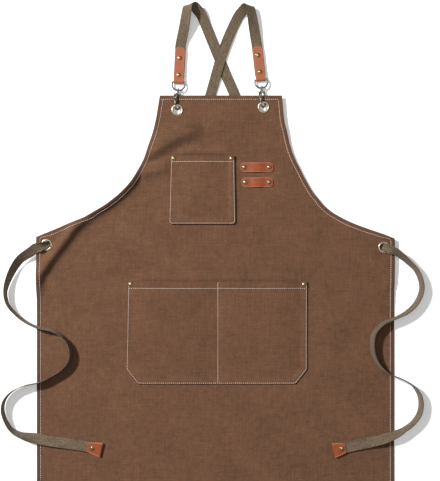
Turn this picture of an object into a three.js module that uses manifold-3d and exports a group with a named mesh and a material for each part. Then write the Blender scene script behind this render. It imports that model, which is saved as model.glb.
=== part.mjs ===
// Canvas work apron with crossed shoulder straps, lying face up on a flat surface.
// Millimetres: X to the right seen from above, Y from the hem towards the straps, Z up.
// The origin is on the surface, under the middle of the apron without its free straps.

import * as THREE from 'three';
import { mergeVertices } from 'three/addons/utils/BufferGeometryUtils.js';
import Module from 'manifold-3d';

const wasm = await Module();
wasm.setup();

// Cloth, leather and strap walls
const GAP = 0.3;
const FLOOR_GAP = 0.2;
const CANVAS = 1.6;
const POCKET_CLOTH = 1.3;
const LEATHER = 1.6;
const END_LEATHER = 1.4;
const STRAP = 1.6;
const STRAP_WIDTH = 20;

// Apron outline: the bib and its armholes, then the straight skirt
const BIB_TOP = 375;
const SKIRT_CORNER = 104;
const SKIRT_HALF = 339.5;
const SKIRT_HEM = -466.5;
const HEM_WIDTH = 7;
const HEM_STEP = 1.5;
const HEM_EXTRA = 0.9;
const EDGE_COLUMNS = [36, 62];
const MIDDLE_CELLS = 9;
const SKIRT_CELLS = 6;
const BELOW_EYELETS = 77;
const ARMHOLES = [
  { y: BIB_TOP, left: -105.5, right: 126 },
  { y: 350, left: -109.5, right: 128 },
  { y: 330, left: -113, right: 130 },
  { y: 305, left: -119, right: 136 },
  { y: 282, left: -126.5, right: 141.5 },
  { y: 262, left: -133, right: 148 },
  { y: 236, left: -145.5, right: 160.5 },
  { y: 213.5, left: -159, right: 172 },
  { y: 191, left: -179.5, right: 185.5 },
  { y: 179.5, left: -193, right: 195 },
  { y: 168, left: -208.5, right: 204.5 },
  { y: 156.5, left: -227.5, right: 218 },
  { y: 145, left: -248, right: 237 },
  { y: 133.5, left: -277, right: 260 },
  { y: 122, left: -303.5, right: 290.5 },
  { y: 111, left: -332, right: 322.5 },
  { y: SKIRT_CORNER, left: -SKIRT_HALF, right: SKIRT_HALF },
];

// How the cloth lies: height of its underside along Y, lifted corners, and soft folds
const LIE = [
  { y: BIB_TOP, under: 6.8 },
  { y: 330, under: 6.8 },
  { y: 282, under: 3.8 },
  { y: 262, under: 3.4 },
  { y: 60, under: 3.4 },
  { y: 30, under: 1.5 },
  { y: 0, under: 1.5 },
  { y: -45, under: 0 },
  { y: SKIRT_HEM, under: 0 },
];
const CORNER_LIFT = 4.6;
const CORNER_FLAT = 23;
const CORNER_REACH = 55;
const FOLDS = [
  { height: 4, spread: 14, route: [[-146, 240], [-180, 193], [-212, 168], [-252, 146], [-300, 124]] },
  { height: 2, spread: 16, route: [[158, 245], [186, 193], [206, 168], [240, 145], [292, 122]] },
  { height: 1.4, spread: 12, route: [[-120, 276], [-84, 300], [-34, 318]] },
  { height: 1, spread: 11, route: [[226, -20], [224, -150], [232, -255]] },
];

// Pockets: rows of edge places from the mouth down, and how far each mouth stands open
const SEAM_FLAT = 10.5;
const POCKET_HEM = 11.5;
const POCKET_HEM_EXTRA = 0.7;
const CHEST_POCKET = {
  open: 6.8,
  seams: [],
  rows: [
    { y: 262, left: -84.5, right: 36 },
    { y: 138, left: -88, right: 38 },
    { y: 131.5, left: -82.5, right: 32.5 },
  ],
  breaks: [225, 195, 165],
  cells: 5,
};
const WAIST_POCKET = {
  open: 7,
  seams: [4.5],
  rows: [
    { y: 23, left: -166, right: 174 },
    { y: -144.5, left: -169.5, right: 174 },
    { y: -172, left: -146, right: 153 },
  ],
  breaks: [0, -45, -95],
  cells: 5,
};

// Leather tool loops on the bib
const LOOP_WIDTH = 18.2;
const LOOP_ARCH = 6.6;
const LOOP_FLAT = 14;
const LOOP_RISE = 9;
const TOOL_LOOPS = [
  { name: 'tool_loop_upper', left: 47.5, right: 109.8, y: 239.2, rivets: [55, 101.8] },
  { name: 'tool_loop_lower', left: 49.8, right: 109, y: 210.8, rivets: [56.6, 101.8] },
];

// Rivets and eyelets
const RIVET = { cap: 4, dome: 2.1, shoulder: 0.75, post: 1.5, back: 3.5, backHeight: 0.9, hole: 1.9 };
const RIVET_SIDES = 8;
const EYELET = {
  hole: 7.5, barrel: 8.2, outer: 11.2, flange: 10.8, roll: 1.6, rim: 0.72, lip: 0.96, back: 0.9, cut: 8.6,
};
const EYELET_SIDES = 14;
const CUT_LOW = -5;
const CUT_HIGH = 40;
const EYELETS = [
  { name: 'eyelet_bib_left', x: -72.3, y: 347.5 },
  { name: 'eyelet_bib_right', x: 91.1, y: 353 },
  { name: 'eyelet_side_left', x: -319.5, y: 92 },
  { name: 'eyelet_side_right', x: 319, y: 87.5 },
];
const SIDE_EYELETS = EYELETS.slice(2);

// Shoulder ends: a leather tab folded round the bar of a wire loop, with a snap hook on it
const TAB_WIDTH = 18.4;
const WIRE = 1.5;
const LOOP_WIRE = { half: 11.8, side: 9.5, foot: 6.5, drop: 15.8, corner: 3.5 };
const TAB_UNDER = 1.4;
const SHOULDERS = [
  { side: 'left', bar: [-70, 401.1], heading: 87, length: 65.8, rivets: [13, 45.3], hole: EYELETS[0] },
  { side: 'right', bar: [86.1, 405.7], heading: 96.7, length: 63.5, rivets: [14.5, 45.9], hole: EYELETS[1] },
];

// Snap hook, drawn flat with its eye at the origin and its bend towards -Y, then tilted
const HOOK_AXIS = LIE[0].under + CANVAS / 2;
const HOOK_TILT = 51;
const HOOK = {
  length: 37, wire: 2, back: 6, front: 6.8, armTop: 7.4, tip: 28.5,
  plateTop: 5.7, plateFoot: 8.6, neck: 3.2, backEnd: 7.6, frontEnd: 9.6, shoulder: 6.9, plateHalf: 2.2,
};
const BARREL = {
  radius: 3.2, bore: 2.35, top: 7.2, boreTop: 9.4, foot: 22.5, slot: 1.3, slotTop: 10.2, slotFoot: 20.2,
};
const BOLT = { radius: 2, foot: 28.2, top: 17.4, nub: 1, nubAt: 18.8, nubOut: 4.8 };
const BARREL_SIDES = 14;
const ROD_SIDES = 10;
const NUB_SIDES = 8;
const SWIVEL = {
  ring: 3.6, wire: 1.2, slack: 0.6, stem: 1.6, hole: 1.95, head: 2.8, headTop: 8.9, headFoot: 9.9,
};

// Straps: rows along the middle line. lift is the height of the lowest edge, roll leans the
// face to the left of the way along, and the strap turns under itself at the top of its fold.
// After the eyelet the strap takes the given share of the tie's first roll
const EYELET_PASS = [
  { reach: -34, lift: 0.2, width: STRAP_WIDTH, curl: 0, share: 0 },
  { reach: -20, lift: 0.3, width: 18, curl: 40, share: 0 },
  { reach: -11, lift: 0.9, width: 14, curl: 90, share: 0 },
  { reach: -5, lift: 2.8, width: 12.2, curl: 100, share: 0 },
  { reach: 2, lift: 8.7, width: 12.2, curl: 100, share: 0 },
  { reach: 8, lift: 12.6, width: 13.4, curl: 90, share: 0.3 },
  { reach: 13, lift: 13.2, width: 16, curl: 60, share: 0.6 },
  { reach: 20, lift: 12.6, width: 18.5, curl: 30, share: 0.85 },
];
const STRAPS = [
  {
    name: 'strap_left',
    upHeading: 79,
    downHeading: -54,
    foldRadius: 8,
    eyelet: SIDE_EYELETS[1],
    passHeading: -21.5,
    up: [
      { x: -69.6, y: 408.1, lift: 3.3 },
      { x: -66.9, y: 459, lift: 3.3 },
      { x: -66.3, y: 470, lift: 3.3 },
      { x: -64, y: 482, lift: 4.8 },
      { x: -60, y: 500, lift: 7.6, roll: 9 },
      { x: -56.5, y: 519, lift: 11.3, roll: 20 },
      { x: -53, y: 538, lift: 14.4, roll: 28 },
    ],
    down: [
      { x: -26.5, y: 528, lift: 1.8, roll: -12 },
      { x: -19, y: 510.5, lift: 0.5, roll: -3 },
      { x: -4, y: 474, lift: 0.2 },
      { x: 6, y: 449.5, lift: 0.2 },
      { x: 22, y: 410, lift: 0.2 },
      { x: 37, y: 375.3, lift: 0.2 },
      { x: 49.5, y: 333.5, lift: 0.2 },
      { x: 79, y: 292, lift: 0.2 },
      { x: 114, y: 254, lift: 0.2 },
      { x: 143, y: 212, lift: 0.2 },
      { x: 176, y: 168, lift: 0.2 },
      { x: 218, y: 134, lift: 0.2 },
      { x: 262, y: 110, lift: 0.2 },
    ],
    tie: [
      { x: 347, y: 74, lift: 9.6, roll: -58 },
      { x: 364, y: 60, lift: 4, roll: -68 },
      { x: 380.5, y: 43.5, lift: 0.5, roll: -73 },
      { x: 389.5, y: 21.5, lift: 0.2, roll: -75 },
      { x: 389.5, y: 3, lift: 0.2, roll: -75 },
      { x: 377.5, y: -21.5, lift: 0.2, roll: -75 },
      { x: 360, y: -36.5, lift: 1.6, roll: -79 },
      { x: 342, y: -45.5, lift: 3.3, roll: -86 },
      { x: 315.5, y: -57, lift: 2.7, roll: -80 },
      { x: 301.5, y: -72, lift: 2.1, roll: -77 },
      { x: 296.5, y: -91, lift: 2.1, roll: -76 },
      { x: 298.5, y: -113.5, lift: 2.1, roll: -77 },
      { x: 307.5, y: -133.5, lift: 2.1, roll: -80 },
      { x: 324, y: -149, lift: 2.9, roll: -85 },
      { x: 341, y: -157, lift: 3.2, roll: -88 },
      { x: 357, y: -163.5, lift: 1.6, roll: -88 },
      { x: 374.5, y: -175.5, lift: 0.3, roll: -83 },
      { x: 385.5, y: -191, lift: 0.2, roll: -76 },
      { x: 389, y: -208, lift: 0.2, roll: -75 },
      { x: 385.5, y: -228, lift: 0.2, roll: -76 },
      { x: 374, y: -244.5, lift: 0.4, roll: -78 },
      { x: 357, y: -257, lift: 1.8, roll: -77 },
      { x: 340, y: -266.5, lift: 3.2, roll: -58 },
      { x: 317, y: -275.5, lift: 3.1, roll: -30 },
      { x: 290, y: -282.5, lift: 2.3, roll: -6 },
      { x: 264, y: -288.3, lift: 3.6 },
      { x: 247, y: -292.4, lift: 4.7 },
      { x: 231, y: -296.2, lift: 4.7 },
    ],
  },
  {
    name: 'strap_right',
    upHeading: 97.8,
    downHeading: 244.5,
    foldRadius: 6,
    eyelet: SIDE_EYELETS[0],
    passHeading: 197.2,
    up: [
      { x: 85.3, y: 412.7, lift: 3.3 },
      { x: 79.8, y: 460, lift: 3.3 },
      { x: 78.4, y: 472, lift: 3.3 },
      { x: 76.2, y: 484, lift: 4.6 },
      { x: 72.8, y: 503, lift: 7, roll: -10 },
      { x: 68.9, y: 525, lift: 9.2, roll: -24 },
      { x: 65.9, y: 539, lift: 10.2, roll: -32 },
    ],
    down: [
      { x: 45.5, y: 528.5, lift: 1.2, roll: 15 },
      { x: 36.5, y: 512, lift: 0.8, roll: 4 },
      { x: 25.5, y: 488, lift: 2.2 },
      { x: 11.3, y: 449.5, lift: 2.2 },
      { x: -0.5, y: 408, lift: 2.2 },
      { x: -10.5, y: 373.4, lift: 0.2 },
      { x: -24, y: 333.5, lift: 0.2 },
      { x: -54, y: 292, lift: 0.2 },
      { x: -94, y: 253.5, lift: 0.2 },
      { x: -128.5, y: 212, lift: 0.2 },
      { x: -170, y: 168, lift: 0.2 },
      { x: -219, y: 131, lift: 0.2 },
      { x: -267, y: 108.5, lift: 0.2 },
    ],
    tie: [
      { x: -348, y: 79, lift: 10.6, roll: 28 },
      { x: -369.5, y: 64, lift: 6, roll: 45 },
      { x: -388, y: 34.5, lift: 2.6, roll: 62 },
      { x: -397, y: 3, lift: 2.4, roll: 83 },
      { x: -392.5, y: -19.5, lift: 2.4, roll: 86 },
      { x: -378.5, y: -37.5, lift: 2.4, roll: 87 },
      { x: -359.5, y: -52.5, lift: 2.6, roll: 87 },
      { x: -338, y: -63, lift: 3.4, roll: 87 },
      { x: -304.5, y: -71.5, lift: 2.4, roll: 87 },
      { x: -283.5, y: -86.5, lift: 2.1, roll: 86 },
      { x: -274.5, y: -107.5, lift: 2.1, roll: 85 },
      { x: -276.5, y: -126, lift: 2.1, roll: 86 },
      { x: -288.5, y: -142.5, lift: 2.1, roll: 87 },
      { x: -309, y: -156, lift: 2.3, roll: 87 },
      { x: -334, y: -168, lift: 3.3, roll: 87 },
      { x: -362, y: -174.5, lift: 2.5, roll: 87 },
      { x: -386, y: -186.5, lift: 2.4, roll: 86 },
      { x: -399, y: -202.5, lift: 2.4, roll: 85 },
      { x: -402, y: -220.5, lift: 2.4, roll: 85 },
      { x: -396, y: -241, lift: 2.2, roll: 85 },
      { x: -384.5, y: -258.5, lift: 1.6, roll: 83 },
      { x: -365.5, y: -268.5, lift: 1.8, roll: 66 },
      { x: -338, y: -275.2, lift: 3.2, roll: 15 },
      { x: -294, y: -282.5, lift: 2.2 },
      { x: -262, y: -287.3, lift: 3.6 },
      { x: -242.5, y: -290.8, lift: 4.7 },
      { x: -226, y: -294.7, lift: 4.7 },
    ],
  },
];
const STRAP_CELLS = 3;
const STEP_LENGTH = 60;
const STEP_TURN = 23;

// Leather ends of the ties, each folded at its flared outer end
const END_UNDER = 3;
const TIE_ENDS = [
  { side: 'left', x: -242.5, y: -290.8, heading: -13.4, length: 28, rivet: 9.5 },
  { side: 'right', x: 247, y: -292.4, heading: 193.3, length: 24, rivet: 7.5 },
];
const END_FLARE = [
  { part: 0, half: 8.6 },
  { part: 0.14, half: 10 },
  { part: 0.5, half: 12 },
  { part: 0.9, half: 13.5 },
];

// Finishes
const FINISH = {
  canvas: { color: '#72533f', roughness: 0.92, metalness: 0 },
  webbing: { color: '#7c6a59', roughness: 0.95, metalness: 0 },
  leather: { color: '#a4623f', roughness: 0.55, metalness: 0 },
  brass: { color: '#a98a58', roughness: 0.35, metalness: 1 },
  eyelet: { color: '#c3b49c', roughness: 0.35, metalness: 1 },
  steel: { color: '#83827e', roughness: 0.3, metalness: 1 },
};

const UP = new THREE.Vector3(0, 0, 1);
const apron = new THREE.Group();
apron.name = 'apron';

function addPart(name, geometry, finish, parent = apron) {
  const mesh = new THREE.Mesh(geometry, new THREE.MeshStandardMaterial(FINISH[finish]));
  mesh.name = name;
  parent.add(mesh);
  return mesh;
}

function bearing(degrees) {
  const turn = THREE.MathUtils.degToRad(degrees);
  return new THREE.Vector3(Math.cos(turn), Math.sin(turn), 0);
}

// Value of one column of a table at a place along its key column, straight between rows
function lookup(rows, key, column, at) {
  const rising = rows[rows.length - 1][key] > rows[0][key];
  const next = rows.findIndex((row) => (rising ? row[key] >= at : row[key] <= at));
  if (next === 0) return rows[0][column];
  if (next < 0) return rows[rows.length - 1][column];
  const from = rows[next - 1];
  const to = rows[next];
  return THREE.MathUtils.mapLinear(at, from[key], to[key], from[column], to[column]);
}

// Booleans on closed meshes

function toManifold(geometry) {
  const bare = geometry.clone();
  bare.deleteAttribute('normal');
  bare.deleteAttribute('uv');
  const welded = mergeVertices(bare, 1e-4);
  const vertProperties = new Float32Array(welded.attributes.position.array);
  const triVerts = new Uint32Array(welded.index.array);
  return new wasm.Manifold(new wasm.Mesh({ numProp: 3, vertProperties, triVerts }));
}

function fromManifold(solid) {
  const mesh = solid.getMesh();
  const geometry = new THREE.BufferGeometry();
  geometry.setAttribute('position', new THREE.BufferAttribute(mesh.vertProperties, 3));
  geometry.setIndex(new THREE.BufferAttribute(mesh.triVerts, 1));
  geometry.computeVertexNormals();
  return geometry;
}

function combine(bodies, cutters) {
  let solid = toManifold(bodies[0]);
  for (const body of bodies.slice(1)) solid = solid.add(toManifold(body));
  for (const cutter of cutters) solid = solid.subtract(toManifold(cutter));
  return fromManifold(solid);
}

// An upright round post for cutting holes through flat layers
function post(x, y, radius, sides, low, high) {
  const geometry = new THREE.CylinderGeometry(radius, radius, high - low, sides);
  geometry.rotateX(Math.PI / 2);
  geometry.translate(x, y, (low + high) / 2);
  return geometry;
}

// A round rod along Y between two places, in the flat drawing of a hook
function rod(x, from, to, radius, sides) {
  const geometry = new THREE.CylinderGeometry(radius, radius, to - from, sides);
  geometry.translate(x, -(from + to) / 2, 0);
  return geometry;
}

// A closed wall between two grids of points, whose rows run along and cells run across
function wall(top, bottom) {
  const rows = top.length;
  const columns = top[0].length;
  const positions = [];
  for (const grid of [top, bottom]) {
    for (const row of grid) {
      for (const point of row) positions.push(point.x, point.y, point.z);
    }
  }
  const upper = (row, column) => row * columns + column;
  const lower = (row, column) => rows * columns + row * columns + column;
  const index = [];
  const quad = (a, b, c, d) => index.push(a, b, c, a, c, d);
  for (let row = 0; row < rows - 1; row++) {
    for (let column = 0; column < columns - 1; column++) {
      quad(upper(row, column), upper(row + 1, column), upper(row + 1, column + 1), upper(row, column + 1));
      quad(lower(row, column), lower(row, column + 1), lower(row + 1, column + 1), lower(row + 1, column));
    }
    const last = columns - 1;
    quad(upper(row, 0), lower(row, 0), lower(row + 1, 0), upper(row + 1, 0));
    quad(upper(row, last), upper(row + 1, last), lower(row + 1, last), lower(row, last));
  }
  const end = rows - 1;
  for (let column = 0; column < columns - 1; column++) {
    quad(upper(0, column), upper(0, column + 1), lower(0, column + 1), lower(0, column));
    quad(upper(end, column), lower(end, column), lower(end, column + 1), upper(end, column + 1));
  }
  const geometry = new THREE.BufferGeometry();
  geometry.setAttribute('position', new THREE.Float32BufferAttribute(positions, 3));
  geometry.setIndex(index);
  geometry.computeVertexNormals();
  return geometry;
}

// A cloth panel lying in plan: rows of Y, columns of X for each row, underside and thickness
function panel(rows, columnsAt, underAt, thicknessAt) {
  const top = [];
  const bottom = [];
  rows.forEach((y, row) => {
    const columns = columnsAt(y);
    bottom.push(columns.map((x) => new THREE.Vector3(x, y, underAt(x, y))));
    top.push(columns.map((x, column) => new THREE.Vector3(
      x, y, underAt(x, y) + thicknessAt(row, column, columns.length),
    )));
  });
  return wall(top, bottom);
}

// A ribbon through stations of place, way along, face, width and curl of its edges
function ribbon(stations, thickness, cells) {
  const top = [];
  const bottom = [];
  for (const station of stations) {
    const across = new THREE.Vector3().crossVectors(station.face, station.along).normalize();
    const upper = [];
    const lower = [];
    for (let cell = 0; cell <= cells; cell++) {
      const reach = (cell / cells - 0.5) * station.width;
      const bend = station.curl ? (station.curl * reach) / station.width : 0;
      const radius = station.curl ? station.width / station.curl : 0;
      const sideways = station.curl ? radius * Math.sin(bend) : reach;
      const rise = station.curl ? radius * (1 - Math.cos(bend)) : 0;
      const middle = station.place.clone()
        .addScaledVector(across, sideways)
        .addScaledVector(station.face, rise);
      const out = station.face.clone()
        .multiplyScalar(Math.cos(bend))
        .addScaledVector(across, -Math.sin(bend));
      upper.push(middle.clone().addScaledVector(out, thickness / 2));
      lower.push(middle.clone().addScaledVector(out, -thickness / 2));
    }
    top.push(upper);
    bottom.push(lower);
  }
  return wall(top, bottom);
}

// A solid turned about Z from a profile of [radius, height] that goes up on its outside
function turned(profile, sides, x, y) {
  const geometry = new THREE.LatheGeometry(profile.map(([r, z]) => new THREE.Vector2(r, z)), sides);
  geometry.rotateX(Math.PI / 2);
  geometry.translate(x, y, 0);
  return geometry;
}

// How the cloth lies

function foldRise(x, y, fold) {
  const place = new THREE.Vector3(x, y, 0);
  const nearest = new THREE.Vector3();
  let distance = Infinity;
  for (let leg = 0; leg < fold.route.length - 1; leg++) {
    const from = new THREE.Vector3(...fold.route[leg], 0);
    const to = new THREE.Vector3(...fold.route[leg + 1], 0);
    new THREE.Line3(from, to).closestPointToPoint(place, true, nearest);
    distance = Math.min(distance, nearest.distanceTo(place));
  }
  return fold.height * Math.exp(-((distance / fold.spread) ** 2));
}

function cornerRise(x, y, eyelet) {
  const distance = Math.hypot(x - eyelet.x, y - eyelet.y);
  return CORNER_LIFT * (1 - THREE.MathUtils.smoothstep(distance, CORNER_FLAT, CORNER_REACH));
}

function clothUnder(x, y) {
  const corners = SIDE_EYELETS.map((eyelet) => cornerRise(x, y, eyelet));
  const folds = FOLDS.map((fold) => foldRise(x, y, fold));
  return lookup(LIE, 'y', 'under', y) + Math.max(...corners, ...folds);
}

const clothTop = (x, y) => clothUnder(x, y) + CANVAS;

// Apron body

function edgeStretch(y, side) {
  if (y <= SKIRT_CORNER) return 1;
  const reach = 4;
  const high = lookup(ARMHOLES, 'y', side, y + reach);
  const low = lookup(ARMHOLES, 'y', side, y - reach);
  return Math.hypot(1, (high - low) / (2 * reach));
}

function bodyColumns(y) {
  const left = lookup(ARMHOLES, 'y', 'left', y);
  const right = lookup(ARMHOLES, 'y', 'right', y);
  const hems = [HEM_WIDTH, HEM_WIDTH + HEM_STEP];
  const leftSide = [0, ...hems.map((hem) => hem * edgeStretch(y, 'left')), ...EDGE_COLUMNS];
  const rightSide = [0, ...hems.map((hem) => hem * edgeStretch(y, 'right')), ...EDGE_COLUMNS];
  const inner = EDGE_COLUMNS[EDGE_COLUMNS.length - 1];
  const middle = [];
  for (let cell = 1; cell < MIDDLE_CELLS; cell++) {
    middle.push(THREE.MathUtils.lerp(left + inner, right - inner, cell / MIDDLE_CELLS));
  }
  return [
    ...leftSide.map((offset) => left + offset),
    ...middle,
    ...rightSide.map((offset) => right - offset).reverse(),
  ];
}

function bodyRows() {
  const topHem = [BIB_TOP - HEM_WIDTH, BIB_TOP - HEM_WIDTH - HEM_STEP];
  const footHem = [SKIRT_HEM + HEM_WIDTH + HEM_STEP, SKIRT_HEM + HEM_WIDTH, SKIRT_HEM];
  const bends = LIE.map((row) => row.y);
  const skirtTop = bends[bends.length - 2];
  const skirt = [];
  for (let cell = 1; cell < SKIRT_CELLS; cell++) {
    skirt.push(THREE.MathUtils.lerp(skirtTop, footHem[0], cell / SKIRT_CELLS));
  }
  const all = [...ARMHOLES.map((row) => row.y), ...topHem, BELOW_EYELETS, ...bends, ...skirt, ...footHem];
  return [...new Set(all)].sort((a, b) => b - a);
}

function buildBody(holes) {
  const rows = bodyRows();
  const hemCells = 2;
  const thickness = (row, column, columns) => {
    const fromEdge = Math.min(row, rows.length - 1 - row, column, columns - 1 - column);
    return fromEdge < hemCells ? CANVAS + HEM_EXTRA : CANVAS;
  };
  addPart('apron_body', combine([panel(rows, bodyColumns, clothUnder, thickness)], holes), 'canvas');
}

// Pockets, sewn flat along their edges and seams and standing open at the mouth

function buildPocket(name, pocket, holes) {
  const mouth = pocket.rows[0].y;
  const foot = pocket.rows[pocket.rows.length - 1].y;
  const hem = [mouth - POCKET_HEM, mouth - POCKET_HEM - HEM_STEP];
  const all = [...pocket.rows.map((row) => row.y), ...hem, ...pocket.breaks];
  const rows = [...new Set(all)].sort((a, b) => b - a);
  const bays = pocket.seams.length + 1;
  const baySides = (y, bay) => {
    const left = lookup(pocket.rows, 'y', 'left', y);
    const right = lookup(pocket.rows, 'y', 'right', y);
    const lines = [left, ...pocket.seams, right];
    const start = lines[bay] + (bay === 0 ? SEAM_FLAT : 0);
    const end = lines[bay + 1] - (bay === bays - 1 ? SEAM_FLAT : 0);
    return [start, end];
  };
  const columnsAt = (y) => {
    const columns = [lookup(pocket.rows, 'y', 'left', y)];
    for (let bay = 0; bay < bays; bay++) {
      const [start, end] = baySides(y, bay);
      for (let cell = bay === 0 ? 0 : 1; cell <= pocket.cells; cell++) {
        columns.push(THREE.MathUtils.lerp(start, end, cell / pocket.cells));
      }
    }
    return [...columns, lookup(pocket.rows, 'y', 'right', y)];
  };
  const underAt = (x, y) => {
    let swell = 0;
    for (let bay = 0; bay < bays; bay++) {
      const [start, end] = baySides(y, bay);
      const part = THREE.MathUtils.clamp((x - start) / (end - start), 0, 1);
      swell = Math.max(swell, Math.sin(Math.PI * part));
    }
    const open = THREE.MathUtils.clamp((y - foot) / (mouth - foot), 0, 1);
    return clothTop(x, y) + GAP + pocket.open * swell * Math.sin((Math.PI / 2) * open);
  };
  const thickness = (row) => (row < 2 ? POCKET_CLOTH + POCKET_HEM_EXTRA : POCKET_CLOTH);
  addPart(name, combine([panel(rows, columnsAt, underAt, thickness)], holes), 'canvas');
}

// Rivets: a cap in front, a post through the layers and a flat cap behind

function buildRivet(name, x, y, under, over) {
  const backTop = under - FLOOR_GAP;
  const backFoot = backTop - RIVET.backHeight;
  const capFoot = over + FLOOR_GAP;
  const profile = [
    [0, backFoot],
    [RIVET.back, backFoot],
    [RIVET.back, backTop],
    [RIVET.post, backTop],
    [RIVET.post, capFoot],
    [RIVET.cap, capFoot],
    [RIVET.cap * RIVET.shoulder, capFoot + RIVET.dome * RIVET.shoulder],
    [0, capFoot + RIVET.dome],
  ];
  addPart(name, turned(profile, RIVET_SIDES, x, y), 'brass');
}

const rivetHole = (x, y) => post(x, y, RIVET.hole, RIVET_SIDES, CUT_LOW, CUT_HIGH);

function buildEyelet({ name, x, y }) {
  const under = clothUnder(x, y) - FLOOR_GAP;
  const over = clothTop(x, y) + FLOOR_GAP;
  const profile = [
    [EYELET.hole, under - EYELET.back],
    [EYELET.flange, under - EYELET.back],
    [EYELET.flange, under],
    [EYELET.barrel, under],
    [EYELET.barrel, over],
    [EYELET.outer, over],
    [EYELET.outer, over + EYELET.rim],
    [(EYELET.outer + EYELET.hole) / 2, over + EYELET.roll],
    [EYELET.hole, over + EYELET.lip],
    [EYELET.hole, under - EYELET.back],
  ];
  addPart(name, turned(profile, EYELET_SIDES, x, y), 'eyelet');
}

const eyeletCut = ({ x, y }) => post(x, y, EYELET.cut, EYELET_SIDES, CUT_LOW, CUT_HIGH);

// Tool loops: flat under their rivets, arched between them, with rounded ends

function buildToolLoop({ name, left, right, y, rivets }) {
  const half = LOOP_WIDTH / 2;
  const middle = (left + right) / 2;
  const rise = (x) => {
    const inside = Math.min(x - left, right - x) - LOOP_FLAT;
    return LOOP_ARCH * THREE.MathUtils.smoothstep(inside, 0, LOOP_RISE);
  };
  const leftHalf = [
    { from: 0, width: half * 1.2 },
    { from: 1.5, width: half * 1.6 },
    { from: 4.5, width: half * 1.92 },
    { from: 8, width: LOOP_WIDTH },
    { from: LOOP_FLAT, width: LOOP_WIDTH },
    { from: LOOP_FLAT + LOOP_RISE * 0.33, width: LOOP_WIDTH },
    { from: LOOP_FLAT + LOOP_RISE * 0.67, width: LOOP_WIDTH },
    { from: LOOP_FLAT + LOOP_RISE, width: LOOP_WIDTH },
  ];
  const places = [
    ...leftHalf.map(({ from, width }) => ({ x: left + from, width })),
    ...leftHalf.map(({ from, width }) => ({ x: right - from, width })).reverse(),
  ];
  const low = clothTop(middle, y) + GAP;
  const stations = places.map(({ x, width }) => ({
    place: new THREE.Vector3(x, y, low + LEATHER / 2 + rise(x)),
    along: new THREE.Vector3(1, 0, 0),
    face: UP,
    width,
  }));
  addPart(name, combine([ribbon(stations, LEATHER, 1)], rivets.map((x) => rivetHole(x, y))), 'leather');
  rivets.forEach((x, place) => {
    buildRivet(`rivet_${name.slice(5)}_${place + 1}`, x, y, clothUnder(x, y), low + LEATHER);
  });
}

// A leather strip folded in two: along the lower layer, round the fold and back on top.
// rows give the distance from the fold, half the width, and the height of each layer
function foldedStrip(rows, origin, way, foldHeight, foldRadius, foldHalf, thickness) {
  const stations = [];
  const add = (reach, height, half, along, face) => stations.push({
    place: origin.clone().addScaledVector(way, reach).setZ(height),
    along,
    face,
    width: half * 2,
  });
  const back = way.clone().negate();
  const down = UP.clone().negate();
  for (const row of [...rows].reverse()) add(row.reach, row.low, row.half, back, down);
  const foldCells = 5;
  for (let cell = 0; cell <= foldCells; cell++) {
    const turn = (Math.PI * cell) / foldCells;
    const face = down.clone().multiplyScalar(Math.cos(turn)).addScaledVector(back, Math.sin(turn));
    const along = back.clone().multiplyScalar(Math.cos(turn)).addScaledVector(UP, Math.sin(turn));
    add(-foldRadius * Math.sin(turn), foldHeight - foldRadius * Math.cos(turn), foldHalf, along, face);
  }
  for (const row of rows) add(row.reach, row.high, row.half, way, UP);
  return ribbon(stations, thickness, 1);
}

// Shoulder ends

const TAB_LOW = TAB_UNDER + LEATHER / 2;
const BAR_HEIGHT = TAB_UNDER + LEATHER + GAP + WIRE;
const TAB_FOLD = WIRE + GAP + LEATHER / 2;
const TAB_HIGH = TAB_UNDER + LEATHER * 1.5 + STRAP + 2 * GAP;

function shoulderPlaces(shoulder) {
  const bar = new THREE.Vector3(...shoulder.bar, 0);
  const way = bearing(shoulder.heading);
  const foot = bar.clone().addScaledVector(way, -LOOP_WIRE.drop);
  const target = new THREE.Vector3(shoulder.hole.x, shoulder.hole.y, 0);
  const hookWay = target.sub(foot).normalize();
  return { bar, way, foot, hookTurn: Math.atan2(hookWay.x, -hookWay.y) };
}

function buildTab(shoulder) {
  const { bar, way } = shoulderPlaces(shoulder);
  const half = TAB_WIDTH / 2;
  const end = shoulder.length;
  const rows = [
    { reach: 3, half, low: TAB_LOW, high: BAR_HEIGHT + TAB_FOLD },
    { reach: 8.6, half, low: TAB_LOW, high: TAB_HIGH },
    { reach: end - 7, half, low: TAB_LOW, high: TAB_HIGH },
    { reach: end - 3, half: half * 0.88, low: TAB_LOW, high: TAB_HIGH },
    { reach: end - 1, half: half * 0.7, low: TAB_LOW, high: TAB_HIGH },
    { reach: end, half: half * 0.5, low: TAB_LOW, high: TAB_HIGH },
  ];
  const places = shoulder.rivets.map((reach) => bar.clone().addScaledVector(way, reach));
  const strip = foldedStrip(rows, bar, way, BAR_HEIGHT, TAB_FOLD, half, LEATHER);
  const holes = places.map((place) => rivetHole(place.x, place.y));
  addPart(`shoulder_tab_${shoulder.side}`, combine([strip], holes), 'leather');
  places.forEach((place, order) => buildRivet(
    `rivet_shoulder_${shoulder.side}_${order + 1}`, place.x, place.y, TAB_UNDER, TAB_HIGH + LEATHER / 2,
  ));
  return holes;
}

// A closed wire path through corners, each rounded with a short curve
function roundedLoop(corners, radius) {
  const path = new THREE.CurvePath();
  const trim = (from, to) => from.clone().addScaledVector(to.clone().sub(from).normalize(), radius);
  corners.forEach((corner, place) => {
    const before = corners[(place + corners.length - 1) % corners.length];
    const after = corners[(place + 1) % corners.length];
    path.add(new THREE.QuadraticBezierCurve3(trim(corner, before), corner, trim(corner, after)));
    path.add(new THREE.LineCurve3(trim(corner, after), trim(after, corner)));
  });
  return path;
}

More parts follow.
